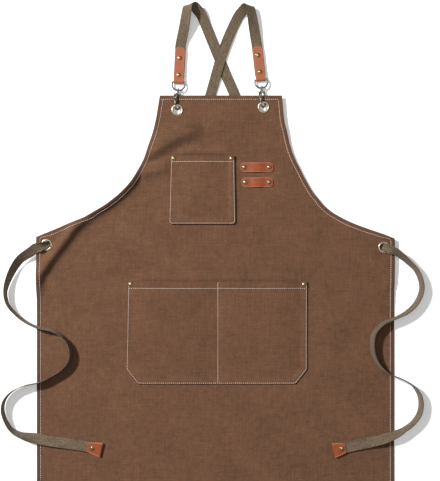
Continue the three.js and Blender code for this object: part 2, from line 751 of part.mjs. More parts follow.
function buildWireLoop(shoulder) {
  const { bar, way } = shoulderPlaces(shoulder);
  const right = new THREE.Vector3().crossVectors(way, UP);
  const corner = (sideways, drop) => bar.clone()
    .addScaledVector(right, sideways)
    .addScaledVector(way, -drop)
    .setZ(THREE.MathUtils.lerp(BAR_HEIGHT, HOOK_AXIS, drop / LOOP_WIRE.drop));
  const { half, side, foot, drop } = LOOP_WIRE;
  const corners = [
    corner(-half, 0), corner(-half, side), corner(-foot, drop),
    corner(foot, drop), corner(half, side), corner(half, 0),
  ];
  const steps = 24;
  const sides = 6;
  const path = roundedLoop(corners, LOOP_WIRE.corner);
  addPart(`wire_loop_${shoulder.side}`, new THREE.TubeGeometry(path, steps, WIRE, sides, true), 'steel');
}

// The hook's arm: down behind the cloth, round through the eyelet and up to its tip in front
function hookArm() {
  const radius = (HOOK.back + HOOK.front) / 2;
  const middle = HOOK.back - radius;
  const bendTop = HOOK.length - radius;
  const points = [[HOOK.back, HOOK.armTop], [HOOK.back, (HOOK.armTop + bendTop) / 2]];
  const bendCells = 6;
  for (let cell = 0; cell <= bendCells; cell++) {
    const turn = (Math.PI * cell) / bendCells;
    points.push([middle + radius * Math.cos(turn), bendTop + radius * Math.sin(turn)]);
  }
  points.push([-HOOK.front, HOOK.tip]);
  const path = new THREE.CatmullRomCurve3(points.map(([x, drop]) => new THREE.Vector3(x, -drop, 0)));
  const section = new THREE.Shape().absarc(0, 0, HOOK.wire, 0, 2 * Math.PI);
  const options = { steps: 15, curveSegments: 3, bevelEnabled: false, extrudePath: path };
  return new THREE.ExtrudeGeometry(section, options);
}

function hookGeometry() {
  const outline = [
    [HOOK.neck, HOOK.plateTop], [HOOK.backEnd, HOOK.shoulder], [HOOK.backEnd, HOOK.plateFoot],
    [-HOOK.frontEnd, HOOK.plateFoot], [-HOOK.frontEnd, HOOK.shoulder], [-HOOK.neck, HOOK.plateTop],
  ];
  const shape = new THREE.Shape(outline.map(([x, drop]) => new THREE.Vector2(x, -drop)));
  const plate = new THREE.ExtrudeGeometry(shape, { depth: 2 * HOOK.plateHalf, bevelEnabled: false });
  plate.translate(0, 0, -HOOK.plateHalf);
  const barrel = rod(-HOOK.front, BARREL.top, BARREL.foot, BARREL.radius, BARREL_SIDES);
  const bore = rod(-HOOK.front, BARREL.boreTop, BARREL.foot + 1, BARREL.bore, BARREL_SIDES);
  const slotLength = BARREL.slotFoot - BARREL.slotTop;
  const slot = new THREE.BoxGeometry(2 * BARREL.radius, slotLength, 2 * BARREL.slot);
  slot.translate(-HOOK.front - BARREL.radius, -(BARREL.slotTop + BARREL.slotFoot) / 2, 0);
  const stemHole = rod(0, HOOK.plateTop - 1, HOOK.plateFoot + 1, SWIVEL.hole, ROD_SIDES);
  return combine([plate, barrel, hookArm()], [bore, slot, stemHole]);
}

function boltGeometry() {
  const shaft = rod(-HOOK.front, BOLT.top, BOLT.foot, BOLT.radius, ROD_SIDES);
  const nub = new THREE.CylinderGeometry(BOLT.nub, BOLT.nub, BOLT.nubOut, NUB_SIDES);
  nub.rotateZ(Math.PI / 2);
  nub.translate(-HOOK.front - BOLT.nubOut / 2, -BOLT.nubAt, 0);
  return combine([shaft, nub], []);
}

function swivelGeometry() {
  const ring = new THREE.TorusGeometry(SWIVEL.ring, SWIVEL.wire, 6, 12);
  ring.rotateY(Math.PI / 2);
  ring.translate(0, -SWIVEL.slack, 0);
  const stem = rod(0, SWIVEL.slack + SWIVEL.ring, SWIVEL.headFoot, SWIVEL.stem, ROD_SIDES);
  const head = rod(0, SWIVEL.headTop, SWIVEL.headFoot, SWIVEL.head, ROD_SIDES);
  return combine([ring, stem, head], []);
}

function buildHook(shoulder) {
  const { foot, hookTurn } = shoulderPlaces(shoulder);
  const hanger = new THREE.Group();
  hanger.position.set(foot.x, foot.y, HOOK_AXIS);
  hanger.rotation.z = hookTurn;
  const tilted = new THREE.Group();
  tilted.rotation.y = THREE.MathUtils.degToRad(HOOK_TILT);
  hanger.add(tilted);
  apron.add(hanger);
  addPart(`swivel_eye_${shoulder.side}`, swivelGeometry(), 'steel', hanger);
  addPart(`snap_hook_${shoulder.side}`, hookGeometry(), 'steel', tilted);
  addPart(`bolt_${shoulder.side}`, boltGeometry(), 'steel', tilted);
}

// Straps

function strapStation(row, place, along, faceSign) {
  const left = new THREE.Vector3().crossVectors(UP, along).normalize();
  const above = new THREE.Vector3().crossVectors(along, left);
  const roll = THREE.MathUtils.degToRad(row.roll);
  const face = above.multiplyScalar(Math.cos(roll)).addScaledVector(left, Math.sin(roll));
  const curl = THREE.MathUtils.degToRad(row.curl);
  return { place, along, face: face.multiplyScalar(faceSign), width: row.width, curl: curl * faceSign };
}

function rowHeight(row) {
  const roll = THREE.MathUtils.degToRad(row.roll);
  return row.lift + (row.width / 2) * Math.abs(Math.sin(roll)) + (STRAP / 2) * Math.cos(roll);
}

// Stations along a smooth line through table rows, closer together where the line turns
function legStations(rows, faceSign) {
  const full = rows.map((row) => ({ roll: 0, curl: 0, width: STRAP_WIDTH, ...row }));
  const places = full.map((row) => new THREE.Vector3(row.x, row.y, rowHeight(row)));
  const line = new THREE.CatmullRomCurve3(places, false, 'centripetal');
  const spans = full.length - 1;
  const stations = [];
  for (let span = 0; span < spans; span++) {
    const turn = line.getTangent(span / spans).angleTo(line.getTangent((span + 1) / spans));
    const length = places[span].distanceTo(places[span + 1]);
    const steps = Math.ceil(Math.max(length / STEP_LENGTH, THREE.MathUtils.radToDeg(turn) / STEP_TURN));
    for (let step = 0; step < steps; step++) {
      const part = step / steps;
      const row = {};
      for (const column of ['roll', 'curl', 'width']) {
        row[column] = THREE.MathUtils.lerp(full[span][column], full[span + 1][column], part);
      }
      const at = (span + part) / spans;
      stations.push(strapStation(row, line.getPoint(at), line.getTangent(at), faceSign));
    }
  }
  stations.push(strapStation(full[spans], line.getPoint(1), line.getTangent(1), faceSign));
  return stations;
}

// The turn at the top of a shoulder strap: the ribbon wraps half round a line that leans with it
function turnStations(strap) {
  const last = { width: STRAP_WIDTH, ...strap.up[strap.up.length - 1] };
  const start = new THREE.Vector3(last.x, last.y, rowHeight(last));
  const radius = strap.foldRadius;
  const comes = bearing(strap.upHeading);
  const axis = comes.clone().add(bearing(strap.downHeading)).normalize();
  const out = comes.clone().addScaledVector(axis, -comes.dot(axis));
  const creep = comes.dot(axis) / out.length();
  out.normalize();
  const lean = new THREE.Quaternion().setFromAxisAngle(comes, -THREE.MathUtils.degToRad(last.roll));
  const cells = 7;
  const stations = [];
  for (let cell = 0; cell <= cells; cell++) {
    const turn = (Math.PI * cell) / cells;
    const offset = out.clone().multiplyScalar(radius * Math.sin(turn))
      .addScaledVector(UP, radius * (Math.cos(turn) - 1))
      .addScaledVector(axis, radius * creep * turn)
      .applyQuaternion(lean);
    const along = out.clone().multiplyScalar(Math.cos(turn))
      .addScaledVector(UP, -Math.sin(turn))
      .addScaledVector(axis, creep)
      .normalize()
      .applyQuaternion(lean);
    const face = out.clone().multiplyScalar(Math.sin(turn)).addScaledVector(UP, Math.cos(turn));
    face.applyQuaternion(lean);
    stations.push({ place: start.clone().add(offset), along, face, width: STRAP_WIDTH, curl: 0 });
  }
  return stations;
}

// The table row that carries on from a turn's last station
function rowAfterTurn({ place, along, face }) {
  const left = new THREE.Vector3().crossVectors(UP, along).normalize();
  const above = new THREE.Vector3().crossVectors(along, left);
  const roll = THREE.MathUtils.radToDeg(Math.atan2(-face.dot(left), -face.dot(above)));
  const lift = place.z - rowHeight({ lift: 0, width: STRAP_WIDTH, roll });
  return { x: place.x, y: place.y, lift, roll };
}

function buildStrap(strap, holes) {
  const way = bearing(strap.passHeading);
  const pass = EYELET_PASS.map(({ reach, share, ...row }) => ({
    x: strap.eyelet.x + way.x * reach,
    y: strap.eyelet.y + way.y * reach,
    roll: share * strap.tie[0].roll,
    ...row,
  }));
  const turn = turnStations(strap);
  const down = [rowAfterTurn(turn[turn.length - 1]), ...strap.down, ...pass, ...strap.tie];
  const stations = [
    ...legStations(strap.up, 1).slice(0, -1),
    ...turn.slice(0, -1),
    ...legStations(down, -1),
  ];
  addPart(strap.name, combine([ribbon(stations, STRAP, STRAP_CELLS)], holes), 'webbing');
}

// Leather ends of the ties

function buildTieEnd(tieEnd) {
  const way = bearing(tieEnd.heading);
  const low = END_UNDER + END_LEATHER / 2;
  const high = END_UNDER + END_LEATHER * 1.5 + STRAP + 2 * GAP;
  const radius = (high - low) / 2;
  const inner = tieEnd.length - radius - END_LEATHER / 2;
  const fold = new THREE.Vector3(tieEnd.x, tieEnd.y, 0).addScaledVector(way, inner);
  const rows = END_FLARE.map(({ part, half }) => ({ reach: inner * (1 - part), half, low, high })).reverse();
  const foldHalf = END_FLARE[END_FLARE.length - 1].half;
  const strip = foldedStrip(rows, fold, way.clone().negate(), low + radius, radius, foldHalf, END_LEATHER);
  const x = tieEnd.x + way.x * tieEnd.rivet;
  const y = tieEnd.y + way.y * tieEnd.rivet;
  const holes = [rivetHole(x, y)];
  addPart(`tie_end_${tieEnd.side}`, combine([strip], holes), 'leather');
  buildRivet(`rivet_tie_end_${tieEnd.side}`, x, y, END_UNDER, high + END_LEATHER / 2);
  return holes;
}

// Assembly

const POCKET_RIVETS = [
  { name: 'rivet_chest_pocket_1', x: -79, y: 256 },
  { name: 'rivet_chest_pocket_2', x: 30.7, y: 255.6 },
  { name: 'rivet_waist_pocket_1', x: -161, y: 17 },
  { name: 'rivet_waist_pocket_2', x: 168.4, y: 17 },
];
const pocketHoles = POCKET_RIVETS.map(({ x, y }) => rivetHole(x, y));
const loopHoles = TOOL_LOOPS.flatMap(({ rivets, y }) => rivets.map((x) => rivetHole(x, y)));

buildBody([...EYELETS.map(eyeletCut), ...pocketHoles, ...loopHoles]);
buildPocket('chest_pocket', CHEST_POCKET, pocketHoles.slice(0, 2));
buildPocket('waist_pocket', WAIST_POCKET, pocketHoles.slice(2));
for (const { name, x, y } of POCKET_RIVETS) {
  buildRivet(name, x, y, clothUnder(x, y), clothTop(x, y) + GAP + POCKET_CLOTH + POCKET_HEM_EXTRA);
}
TOOL_LOOPS.forEach(buildToolLoop);
EYELETS.forEach(buildEyelet);
const tabHoles = SHOULDERS.map(buildTab);
SHOULDERS.forEach(buildWireLoop);
SHOULDERS.forEach(buildHook);
const endHoles = TIE_ENDS.map(buildTieEnd);
buildStrap(STRAPS[0], [...tabHoles[0], ...endHoles[1]]);
buildStrap(STRAPS[1], [...tabHoles[1], ...endHoles[0]]);

export default apron;
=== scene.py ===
"""Looks of a canvas work apron that lies flat and face up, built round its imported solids."""

import math
from bisect import bisect_right
from collections import namedtuple
from functools import lru_cache

import bmesh
import bpy
from bpy.props import FloatProperty, FloatVectorProperty, PointerProperty
from bpy.types import Operator, Panel, PropertyGroup
from mathutils import Matrix, Vector, noise


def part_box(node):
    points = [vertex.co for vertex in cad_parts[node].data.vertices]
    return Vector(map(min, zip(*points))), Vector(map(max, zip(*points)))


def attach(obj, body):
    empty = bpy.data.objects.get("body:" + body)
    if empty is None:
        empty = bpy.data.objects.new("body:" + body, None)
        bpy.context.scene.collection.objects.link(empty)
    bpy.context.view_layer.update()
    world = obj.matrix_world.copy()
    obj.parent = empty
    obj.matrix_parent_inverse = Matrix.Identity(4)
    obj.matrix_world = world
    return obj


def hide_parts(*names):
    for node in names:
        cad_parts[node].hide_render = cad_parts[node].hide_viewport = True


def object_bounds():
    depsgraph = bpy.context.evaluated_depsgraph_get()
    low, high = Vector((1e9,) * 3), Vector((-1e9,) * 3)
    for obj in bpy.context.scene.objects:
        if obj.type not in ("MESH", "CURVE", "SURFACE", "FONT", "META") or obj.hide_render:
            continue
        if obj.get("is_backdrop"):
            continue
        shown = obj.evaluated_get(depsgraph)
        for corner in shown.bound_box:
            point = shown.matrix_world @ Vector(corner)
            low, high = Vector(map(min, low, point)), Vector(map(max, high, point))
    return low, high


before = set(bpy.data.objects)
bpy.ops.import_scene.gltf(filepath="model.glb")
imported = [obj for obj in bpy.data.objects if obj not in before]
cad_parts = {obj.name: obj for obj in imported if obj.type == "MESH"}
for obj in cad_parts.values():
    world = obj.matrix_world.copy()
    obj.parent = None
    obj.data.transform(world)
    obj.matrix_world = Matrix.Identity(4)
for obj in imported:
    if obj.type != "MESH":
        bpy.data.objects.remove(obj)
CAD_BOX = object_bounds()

bl_info = {
    "name": "Canvas work apron",
    "version": (1, 0, 0),
    "blender": (4, 5, 0),
    "location": "3D View > Sidebar > Apron",
    "description": "Cloth, straps, leather and fittings of a canvas work apron",
    "category": "Object",
}

BODY = "apron"
UP = Vector((0, 0, 1))

# Walls and gaps, in metres
GAP = 0.0003
FLOOR_GAP = 0.0002
CANVAS = 0.0016
POCKET_CLOTH = 0.0013
LEATHER = 0.0016
END_LEATHER = 0.0014
STRAP = 0.0016
STRAP_WIDTH = 0.02

# Apron outline from the hem up: the straight skirt, then the armholes and the bib
Edge = namedtuple("Edge", "y left right")
SKIRT_HEM = -0.4665
BIB_TOP = 0.375
ARMHOLES = (
    Edge(SKIRT_HEM, -0.3395, 0.3395),
    Edge(0.104, -0.3395, 0.3395),
    Edge(0.1044, -0.3395, 0.3385),
    Edge(0.1068, -0.3395, 0.3328),
    Edge(0.1072, -0.339, 0.3318),
    Edge(0.111, -0.3302, 0.3225),
    Edge(0.122, -0.3035, 0.2905),
    Edge(0.1335, -0.277, 0.26),
    Edge(0.145, -0.248, 0.237),
    Edge(0.1565, -0.2275, 0.218),
    Edge(0.168, -0.2085, 0.2045),
    Edge(0.1795, -0.193, 0.195),
    Edge(0.191, -0.1795, 0.1855),
    Edge(0.2135, -0.159, 0.172),
    Edge(0.236, -0.1455, 0.1605),
    Edge(0.262, -0.133, 0.148),
    Edge(0.282, -0.1265, 0.1415),
    Edge(0.305, -0.119, 0.136),
    Edge(0.33, -0.113, 0.13),
    Edge(0.35, -0.1095, 0.128),
    Edge(BIB_TOP, -0.1055, 0.126),
)
HEM_STEP = 0.0015
HEM_EXTRA = 0.0009
HEM_OFFSETS = (0, 0.0004, 0.001, 0.002, 0.0035, 0.005, 0.0062, 0.0068, 0.0074, 0.008, 0.0088, 0.0102)
MIDDLE_CELLS = 120
CROWDING = 0.55
ROW_BENDS = (-0.3, -0.03, 0.098, 0.152)
ROW_STEPS = (0.007, 0.0055, 0.0032, 0.0013, 0.0032)
HEM_WEAR_FULL = 0.0045
HEM_WEAR_END = 0.0085
ARMHOLE_WEAR = 0.4
WEAR_BELOW_CORNER = 0.02
WEAR_ABOVE_CORNER = 0.01
EDGE_ROUND = 0.0004
THIN_EDGE_ROUND = 0.0003

# Height of the cloth's underside from the hem up
Lie = namedtuple("Lie", "y under")
LIE = (
    Lie(SKIRT_HEM, 0),
    Lie(-0.045, 0),
    Lie(0, 0.0015),
    Lie(0.03, 0.0015),
    Lie(0.06, 0.0034),
    Lie(0.262, 0.0034),
    Lie(0.282, 0.0038),
    Lie(0.33, 0.0068),
    Lie(BIB_TOP, 0.0068),
)

# Folds run along a route. The cloth falls away to the right of the way along within fall, and
# to the left within back, or stays up as a flap where back is 0
FLAP_REACH = 0.05
FOLD_FADE = 0.25
Fold = namedtuple("Fold", "height back fall route")
FOLDS = (
    Fold(0.0046, 0, 0.009, ((-0.333, 0.036), (-0.268, 0.128))),
    Fold(0.0128, 0.015, 0.0094, ((-0.336, -0.02), (-0.336, 0.023), (-0.3316, 0.037), (-0.3154, 0.0605),
                                 (-0.3, 0.081), (-0.2807, 0.1055), (-0.2686, 0.1225), (-0.2552, 0.1346),
                                 (-0.235, 0.1465), (-0.2105, 0.162))),
    Fold(0.0046, 0, 0.016, ((0.259, 0.124), (0.328, 0.024))),
    Fold(0.0122, 0.01, 0.0102, ((-0.278, 0.1315), (-0.249, 0.1435), (-0.2095, 0.1665), (-0.1805, 0.189),
                                (-0.16, 0.211), (-0.1495, 0.2275), (-0.14, 0.244), (-0.1335, 0.262))),
    Fold(0.0034, 0.01, 0.008, ((-0.15, 0.229), (-0.139, 0.25), (-0.127, 0.282), (-0.119, 0.305))),
    Fold(0.0105, 0.024, 0.0135, ((-0.149, 0.246), (-0.127, 0.263), (-0.099, 0.281), (-0.067, 0.299),
                                 (-0.019, 0.31))),
    Fold(0.006, 0.02, 0.01, ((-0.155, 0.222), (-0.133, 0.228), (-0.105, 0.235), (-0.08, 0.238))),
    Fold(0.0034, 0.012, 0.0032, ((-0.088, 0.2665), (-0.06, 0.2665), (0.02, 0.2665), (0.04, 0.2665))),
    Fold(0.0016, 0.012, 0.003, ((-0.2, 0.0272), (-0.1, 0.0272), (0.1, 0.0272), (0.207, 0.0272))),
    Fold(0.0026, 0.035, 0.014, ((0.04, 0.316), (0.066, 0.346))),
    Fold(0.0011, 0.03, 0.014, ((-0.005, 0.077), (0.033, 0.12))),
    Fold(0.0011, 0.03, 0.014, ((0.155, 0.039), (0.128, 0.115))),
    Fold(0.001, 0.02, 0.012, ((0.224, -0.255), (0.222, -0.15), (0.226, -0.02))),
)

# Soft unevenness, which starts at a distance from the fittings and is full at a greater one
Wrinkle = namedtuple("Wrinkle", "size height")
WRINKLES = (Wrinkle(0.06, 0.0007), Wrinkle(0.019, 0.00016))
WRINKLE_START = 0.012
WRINKLE_FULL = 0.03

# Pockets from the mouth down. left and right give a side's place at the mouth and at the foot. The bottom
# corners are cut off by cut within cut_height, round where bend is 2. rise is how far the mouth stands
# open, and fold lifts the right and bottom edges
Pocket = namedtuple("Pocket", "node piece mouth foot left right cut_height cut bend seams rise hem area fold")
POCKETS = (
    Pocket("chest_pocket", "chest_pocket_cloth", 0.262, 0.1315, (-0.0845, -0.088), (0.036, 0.038),
           0.0065, 0.0055, 2, (), 0.0042, 0.0121, 0.0161, 0.0027),
    Pocket("waist_pocket", "waist_pocket_cloth", 0.023, -0.172, (-0.166, -0.1695), (0.174, 0.174),
           0.0275, 0.0222, 1, (0.0045,), 0.0045, 0.0133, 0.0662, 0.0014),
)
POCKET_HEM_EXTRA = 0.0007
POCKET_EDGE_EXTRA = 0.0002
POCKET_EDGE_REACH = 0.02
POCKET_MOUTH_REACH = 0.03
POCKET_LIFT_FULL = 0.006
POCKET_LIFT_END = 0.014
POCKET_ROW = 0.0033
POCKET_COLUMN = 0.0034
POCKET_WORN_CELLS = 3
SEAM_FLAT = 0.0105
SEAM_DEPTH = 0.0006
SEAM_REACH = 0.0025
SEWN_EDGE = (0, 0.0004, 0.001, 0.0018, 0.0026, 0.004, 0.0065)

# Sewn edges: rounded over at the rim, sunk along the stitching, puckered beside it and roped outside it
RIM_DROP = 0.0007
RIM_REACH = 0.0012
GROOVE_DEPTH = 0.00032
GROOVE_REACH = 0.0009
PUCKER = 0.00024
PUCKER_STEP = 0.0016
PUCKER_REACH = 0.0035
ROPING = 0.0002
ROPING_STEP = 0.0021
ROPING_DRIFT = 2.5
ROPING_DRIFT_STEP = 0.031
ROPING_SHARE = 0.6

# Lines of stitching: distance from the hem's step, start below a pocket's mouth, and points along them
STITCH_CLEAR = 0.0004
STITCH_START = 0.002
STITCH_LIFT = 0.0001
SIDE_POINTS = 420
FOOT_POINTS = 300
POCKET_POINTS = 160
SEAM_POINTS = 120

# Shoulder ends: a leather tab folded round the bar of a wire loop that carries a snap hook
Shoulder = namedtuple("Shoulder", "side bar heading length eyelet")
SHOULDERS = (
    Shoulder("left", (-0.07, 0.4011), 87, 0.0658, (-0.0723, 0.3475)),
    Shoulder("right", (0.0861, 0.4057), 96.7, 0.0635, (0.0911, 0.353)),
)
TAB_WIDTH = 0.0184
TAB_UNDER = 0.0014
TAB_START = 0.003
TAB_CLOSED = 0.0086
TAB_FINE_END = 0.009
TAB_FINE_STEP = 0.001
TAB_STEP = 0.0014
TAB_CORNER = 0.007
TAB_CUT = 0.5
# Share of the pale edge colour painted over the whole shoulder tab: painted light, so the tabs look more lit
# than the other leather
TAB_PAINTED_LIGHT = 0.5
WIRE = 0.0015
LOOP_HALF = 0.0118
LOOP_SIDE = 0.0095
LOOP_FOOT = 0.0065
LOOP_DROP = 0.0158
LOOP_CORNER = 0.0026
TAB_LOW = TAB_UNDER + LEATHER / 2
BAR_HEIGHT = TAB_UNDER + LEATHER + GAP + WIRE
TAB_FOLD = WIRE + GAP + LEATHER / 2
TAB_HIGH = TAB_UNDER + LEATHER * 1.5 + STRAP + 2 * GAP

# Snap hook, drawn flat with its eye at the origin and its bend towards -Y, then tilted
HOOK_HEIGHT = 0.0076
HOOK_TILT = 51
HOOK_LENGTH = 0.037
HOOK_WIRE = 0.002
HOOK_BACK = 0.006
HOOK_FRONT = 0.0068
HOOK_ARM_TOP = 0.0074
HOOK_TIP = 0.0285
PLATE = ((0.0032, 0.0057), (0.0076, 0.0069), (0.0076, 0.0086), (-0.0096, 0.0086), (-0.0096, 0.0069),
         (-0.0032, 0.0057))
PLATE_HALF = 0.0022
PLATE_BEVEL = 0.0006
BARREL_RADIUS = 0.0032
BARREL_BORE = 0.00235
BARREL_LENGTHS = (0.0072, 0.0102, 0.0202, 0.0225)
BARREL_SLOT = 48
BOLT_RADIUS = 0.002
BOLT_TOP = 0.0174
BOLT_FOOT = 0.0282
NUB_RADIUS = 0.001
NUB_AT = 0.0188
NUB_OUT = 0.0048
SWIVEL_RING = 0.0036
SWIVEL_WIRE = 0.0012
SWIVEL_SLACK = 0.0006
SWIVEL_STEM = 0.0016
SWIVEL_HEAD = 0.0028
SWIVEL_HEAD_TOP = 0.0089
SWIVEL_FOOT = 0.0099

# Leather tool loops and tie ends
LEATHER_CELLS = 8
LEATHER_STEP = 0.0012
LEATHER_RIM = 0.0005
LOOP_WIDTH = 0.0182
LOOP_ARCH = 0.0018
LOOP_FLAT = 0.0135
LOOP_RISE = 0.014
LOOP_END_CORNER = 0.008
LOOP_END_CUT = 0.42
END_UNDER = 0.003
END_RIM = 0.0004
END_CORNER = 0.004
END_CUT = 0.25
END_FLARE = 0.8
TieEnd = namedtuple("TieEnd", "side x y heading length")
TIE_ENDS = (
    TieEnd("left", -0.2425, -0.2908, -13.4, 0.028),
    TieEnd("right", 0.247, -0.2924, 193.3, 0.024),
)
END_HALF_INNER = 0.0086
END_HALF_OUTER = 0.0135

# Straps: the route's points from the shoulder tab up, then from the turn down to the tie's end.
# lift is the height of the lowest edge, roll leans the face to the left of the way along. After
# the eyelet the strap takes the given share of the tie's first roll
Row = namedtuple("Row", "x y lift roll curl width", defaults=(0, 0, STRAP_WIDTH))
Pass = namedtuple("Pass", "reach lift width curl share")
EYELET_PASS = (
    Pass(-0.034, 0.0002, STRAP_WIDTH, 0, 0),
    Pass(-0.02, 0.0003, 0.018, 40, 0),
    Pass(-0.011, 0.0009, 0.014, 90, 0),
    Pass(-0.005, 0.0028, 0.0138, 100, 0),
    Pass(0.002, 0.0087, 0.0138, 100, 0),
    Pass(0.008, 0.0126, 0.017, 80, 0.3),
    Pass(0.013, 0.0132, 0.0188, 45, 0.6),
    Pass(0.02, 0.0126, 0.0198, 15, 0.85),
)
Strap = namedtuple("Strap", "node piece up_heading down_heading fold_radius eyelet pass_heading end "
                            "up down tie")
STRAPS = (
    Strap(
        "strap_left", "strap_left_webbing", 79, -54, 0.008, "eyelet_side_right", -21.5, "right",
        up=(
            Row(-0.0696, 0.4081, 0.0033),
            Row(-0.0669, 0.459, 0.0033),
            Row(-0.0663, 0.47, 0.0033),
            Row(-0.064, 0.482, 0.0048),
            Row(-0.06, 0.5, 0.0076, 9),
            Row(-0.0565, 0.519, 0.0113, 20),
            Row(-0.053, 0.538, 0.0144, 28),
        ),
        down=(
            Row(-0.0265, 0.528, 0.0018, -12),
            Row(-0.019, 0.5105, 0.0005, -3),
            Row(-0.004, 0.474, 0.0002),
            Row(0.006, 0.4495, 0.0002),
            Row(0.022, 0.41, 0.0002),
            Row(0.037, 0.3753, 0.0002),
            Row(0.0495, 0.3335, 0.0002),
            Row(0.079, 0.292, 0.0002),
            Row(0.114, 0.254, 0.0002),
            Row(0.143, 0.212, 0.0002),
            Row(0.176, 0.168, 0.0002),
            Row(0.218, 0.134, 0.0002),
            Row(0.262, 0.11, 0.0002),
        ),
        tie=(
            Row(0.347, 0.074, 0.0096, -58),
            Row(0.364, 0.06, 0.004, -68),
            Row(0.3805, 0.0435, 0.0005, -73),
            Row(0.3895, 0.0215, 0.0002, -75),
            Row(0.3895, 0.003, 0.0002, -75),
            Row(0.3775, -0.0215, 0.0002, -75),
            Row(0.36, -0.0365, 0.0016, -79),
            Row(0.342, -0.0455, 0.0033, -86),
            Row(0.3155, -0.057, 0.0027, -80),
            Row(0.3015, -0.072, 0.0021, -77),
            Row(0.2965, -0.091, 0.0021, -76),
            Row(0.2985, -0.1135, 0.0021, -77),
            Row(0.3075, -0.1335, 0.0021, -80),
            Row(0.324, -0.149, 0.0029, -85),
            Row(0.341, -0.157, 0.0032, -88),
            Row(0.357, -0.1635, 0.0016, -88),
            Row(0.3745, -0.1755, 0.0003, -83),
            Row(0.3855, -0.191, 0.0002, -76),
            Row(0.389, -0.208, 0.0002, -75),
            Row(0.3855, -0.228, 0.0002, -76),
            Row(0.374, -0.2445, 0.0004, -78),
            Row(0.357, -0.257, 0.0018, -77),
            Row(0.34, -0.2665, 0.0032, -58),
            Row(0.317, -0.2755, 0.0031, -30),
            Row(0.29, -0.2825, 0.0023, -16),
            Row(0.264, -0.2883, 0.0033, -7),
            Row(0.247, -0.2924, 0.0047),
            Row(0.231, -0.2962, 0.0047),
        ),
    ),
    Strap(
        "strap_right", "strap_right_webbing", 97.8, 244.5, 0.006, "eyelet_side_left", 197.2, "left",
        up=(
            Row(0.0853, 0.4127, 0.0033),
            Row(0.0798, 0.46, 0.0033),
            Row(0.0784, 0.472, 0.0033),
            Row(0.0762, 0.484, 0.0046),
            Row(0.0728, 0.503, 0.007, -10),
            Row(0.0689, 0.525, 0.0092, -24),
            Row(0.0659, 0.539, 0.0102, -32),
        ),
        down=(
            Row(0.0455, 0.5285, 0.0012, 15),
            Row(0.0365, 0.512, 0.0008, 4),
            Row(0.0255, 0.488, 0.0022),
            Row(0.0113, 0.4495, 0.0022),
            Row(-0.0005, 0.408, 0.0022),
            Row(-0.0105, 0.3734, 0.0002),
            Row(-0.024, 0.3335, 0.0002),
            Row(-0.054, 0.292, 0.0002),
            Row(-0.094, 0.2535, 0.0002),
            Row(-0.1285, 0.212, 0.0002),
            Row(-0.17, 0.168, 0.0002),
            Row(-0.219, 0.131, 0.0002),
            Row(-0.267, 0.1085, 0.0002),
        ),
        tie=(
            Row(-0.348, 0.079, 0.0106, 28),
            Row(-0.3695, 0.064, 0.006, 45),
            Row(-0.388, 0.0345, 0.0026, 62),
            Row(-0.397, 0.003, 0.0024, 83),
            Row(-0.3925, -0.0195, 0.0024, 86),
            Row(-0.3785, -0.0375, 0.0024, 87),
            Row(-0.3595, -0.0525, 0.0026, 87),
            Row(-0.338, -0.063, 0.0034, 87),
            Row(-0.3045, -0.0715, 0.0024, 87),
            Row(-0.2835, -0.0865, 0.0021, 86),
            Row(-0.2745, -0.1075, 0.0021, 85),
            Row(-0.2765, -0.126, 0.0021, 86),
            Row(-0.2885, -0.1425, 0.0021, 87),
            Row(-0.309, -0.156, 0.0023, 87),
            Row(-0.334, -0.168, 0.0033, 87),
            Row(-0.362, -0.1745, 0.0025, 87),
            Row(-0.386, -0.1865, 0.0024, 86),
            Row(-0.399, -0.2025, 0.0024, 85),
            Row(-0.402, -0.2205, 0.0024, 85),
            Row(-0.396, -0.241, 0.0022, 85),
            Row(-0.3845, -0.2585, 0.0016, 83),
            Row(-0.3655, -0.2685, 0.0018, 66),
            Row(-0.338, -0.2752, 0.0034, 19),
            Row(-0.294, -0.2825, 0.0026, 17),
            Row(-0.262, -0.2873, 0.0033, 9),
            Row(-0.2425, -0.2908, 0.0047),
            Row(-0.226, -0.2947, 0.0047),
        ),
    ),
)
STRAP_STEP = 0.0025
STRAP_CELLS = 10

# Fineness of round pieces
WIRE_SIDES = 14
TURNED_STEPS = 40

# Stage: half the floor's side, the lights' places and sizes, and the middle of the picture
FLOOR_HALF = 6
KEY_PLACE = (-2.6, 1.7, 3.0)
KEY_AIM = (0, 0.05, 0)
KEY_SIZE = 0.4
SOFTBOX_PLACE = (0, 0.1, 3.6)
SOFTBOX_SIZE = 3.6
PICTURE_MIDDLE = (0.00856, 0.1004)


def linear(hex_colour):
    """Linear RGB of an sRGB hex colour."""
    parts = [int(hex_colour[place:place + 2], 16) / 255 for place in (1, 3, 5)]
    return tuple(part / 12.92 if part <= 0.04045 else ((part + 0.055) / 1.055) ** 2.4 for part in parts)


def colour_property(name, description, hex_colour):
    """A colour that a user may change, kept in linear RGB."""
    return FloatVectorProperty(name=name, description=description, subtype="COLOR", size=3, min=0, max=1,
                               default=linear(hex_colour))


def length_property(name, description, default):
    """A length in metres that a user may change."""
    return FloatProperty(name=name, description=description, default=default, min=0, unit="LENGTH",
                         precision=5)


class ApronCloth(PropertyGroup):
    """Canvas, hems and stitching"""

    canvas: colour_property("Canvas", "Colour of the washed canvas", "#634531")
    hems: colour_property("Hems", "Darker colour of the doubled canvas along its hems", "#46302a")
    thread: colour_property("Thread", "Colour of the sewing thread", "#e4cfc1")
    hem: length_property("Hem", "Width of the folded hem", 0.007)
    stitch: length_property("Stitch", "Length of a stitch", 0.003)
    pitch: length_property("Pitch", "Distance from one stitch to the next", 0.0038)
    thread_radius: length_property("Thread radius",
                                   "Half the thickness of the thread, drawn stout so it shows", 0.00056)
    stitch_inset: length_property("Inset", "Distance of a pocket's stitching from its edge", 0.0018)


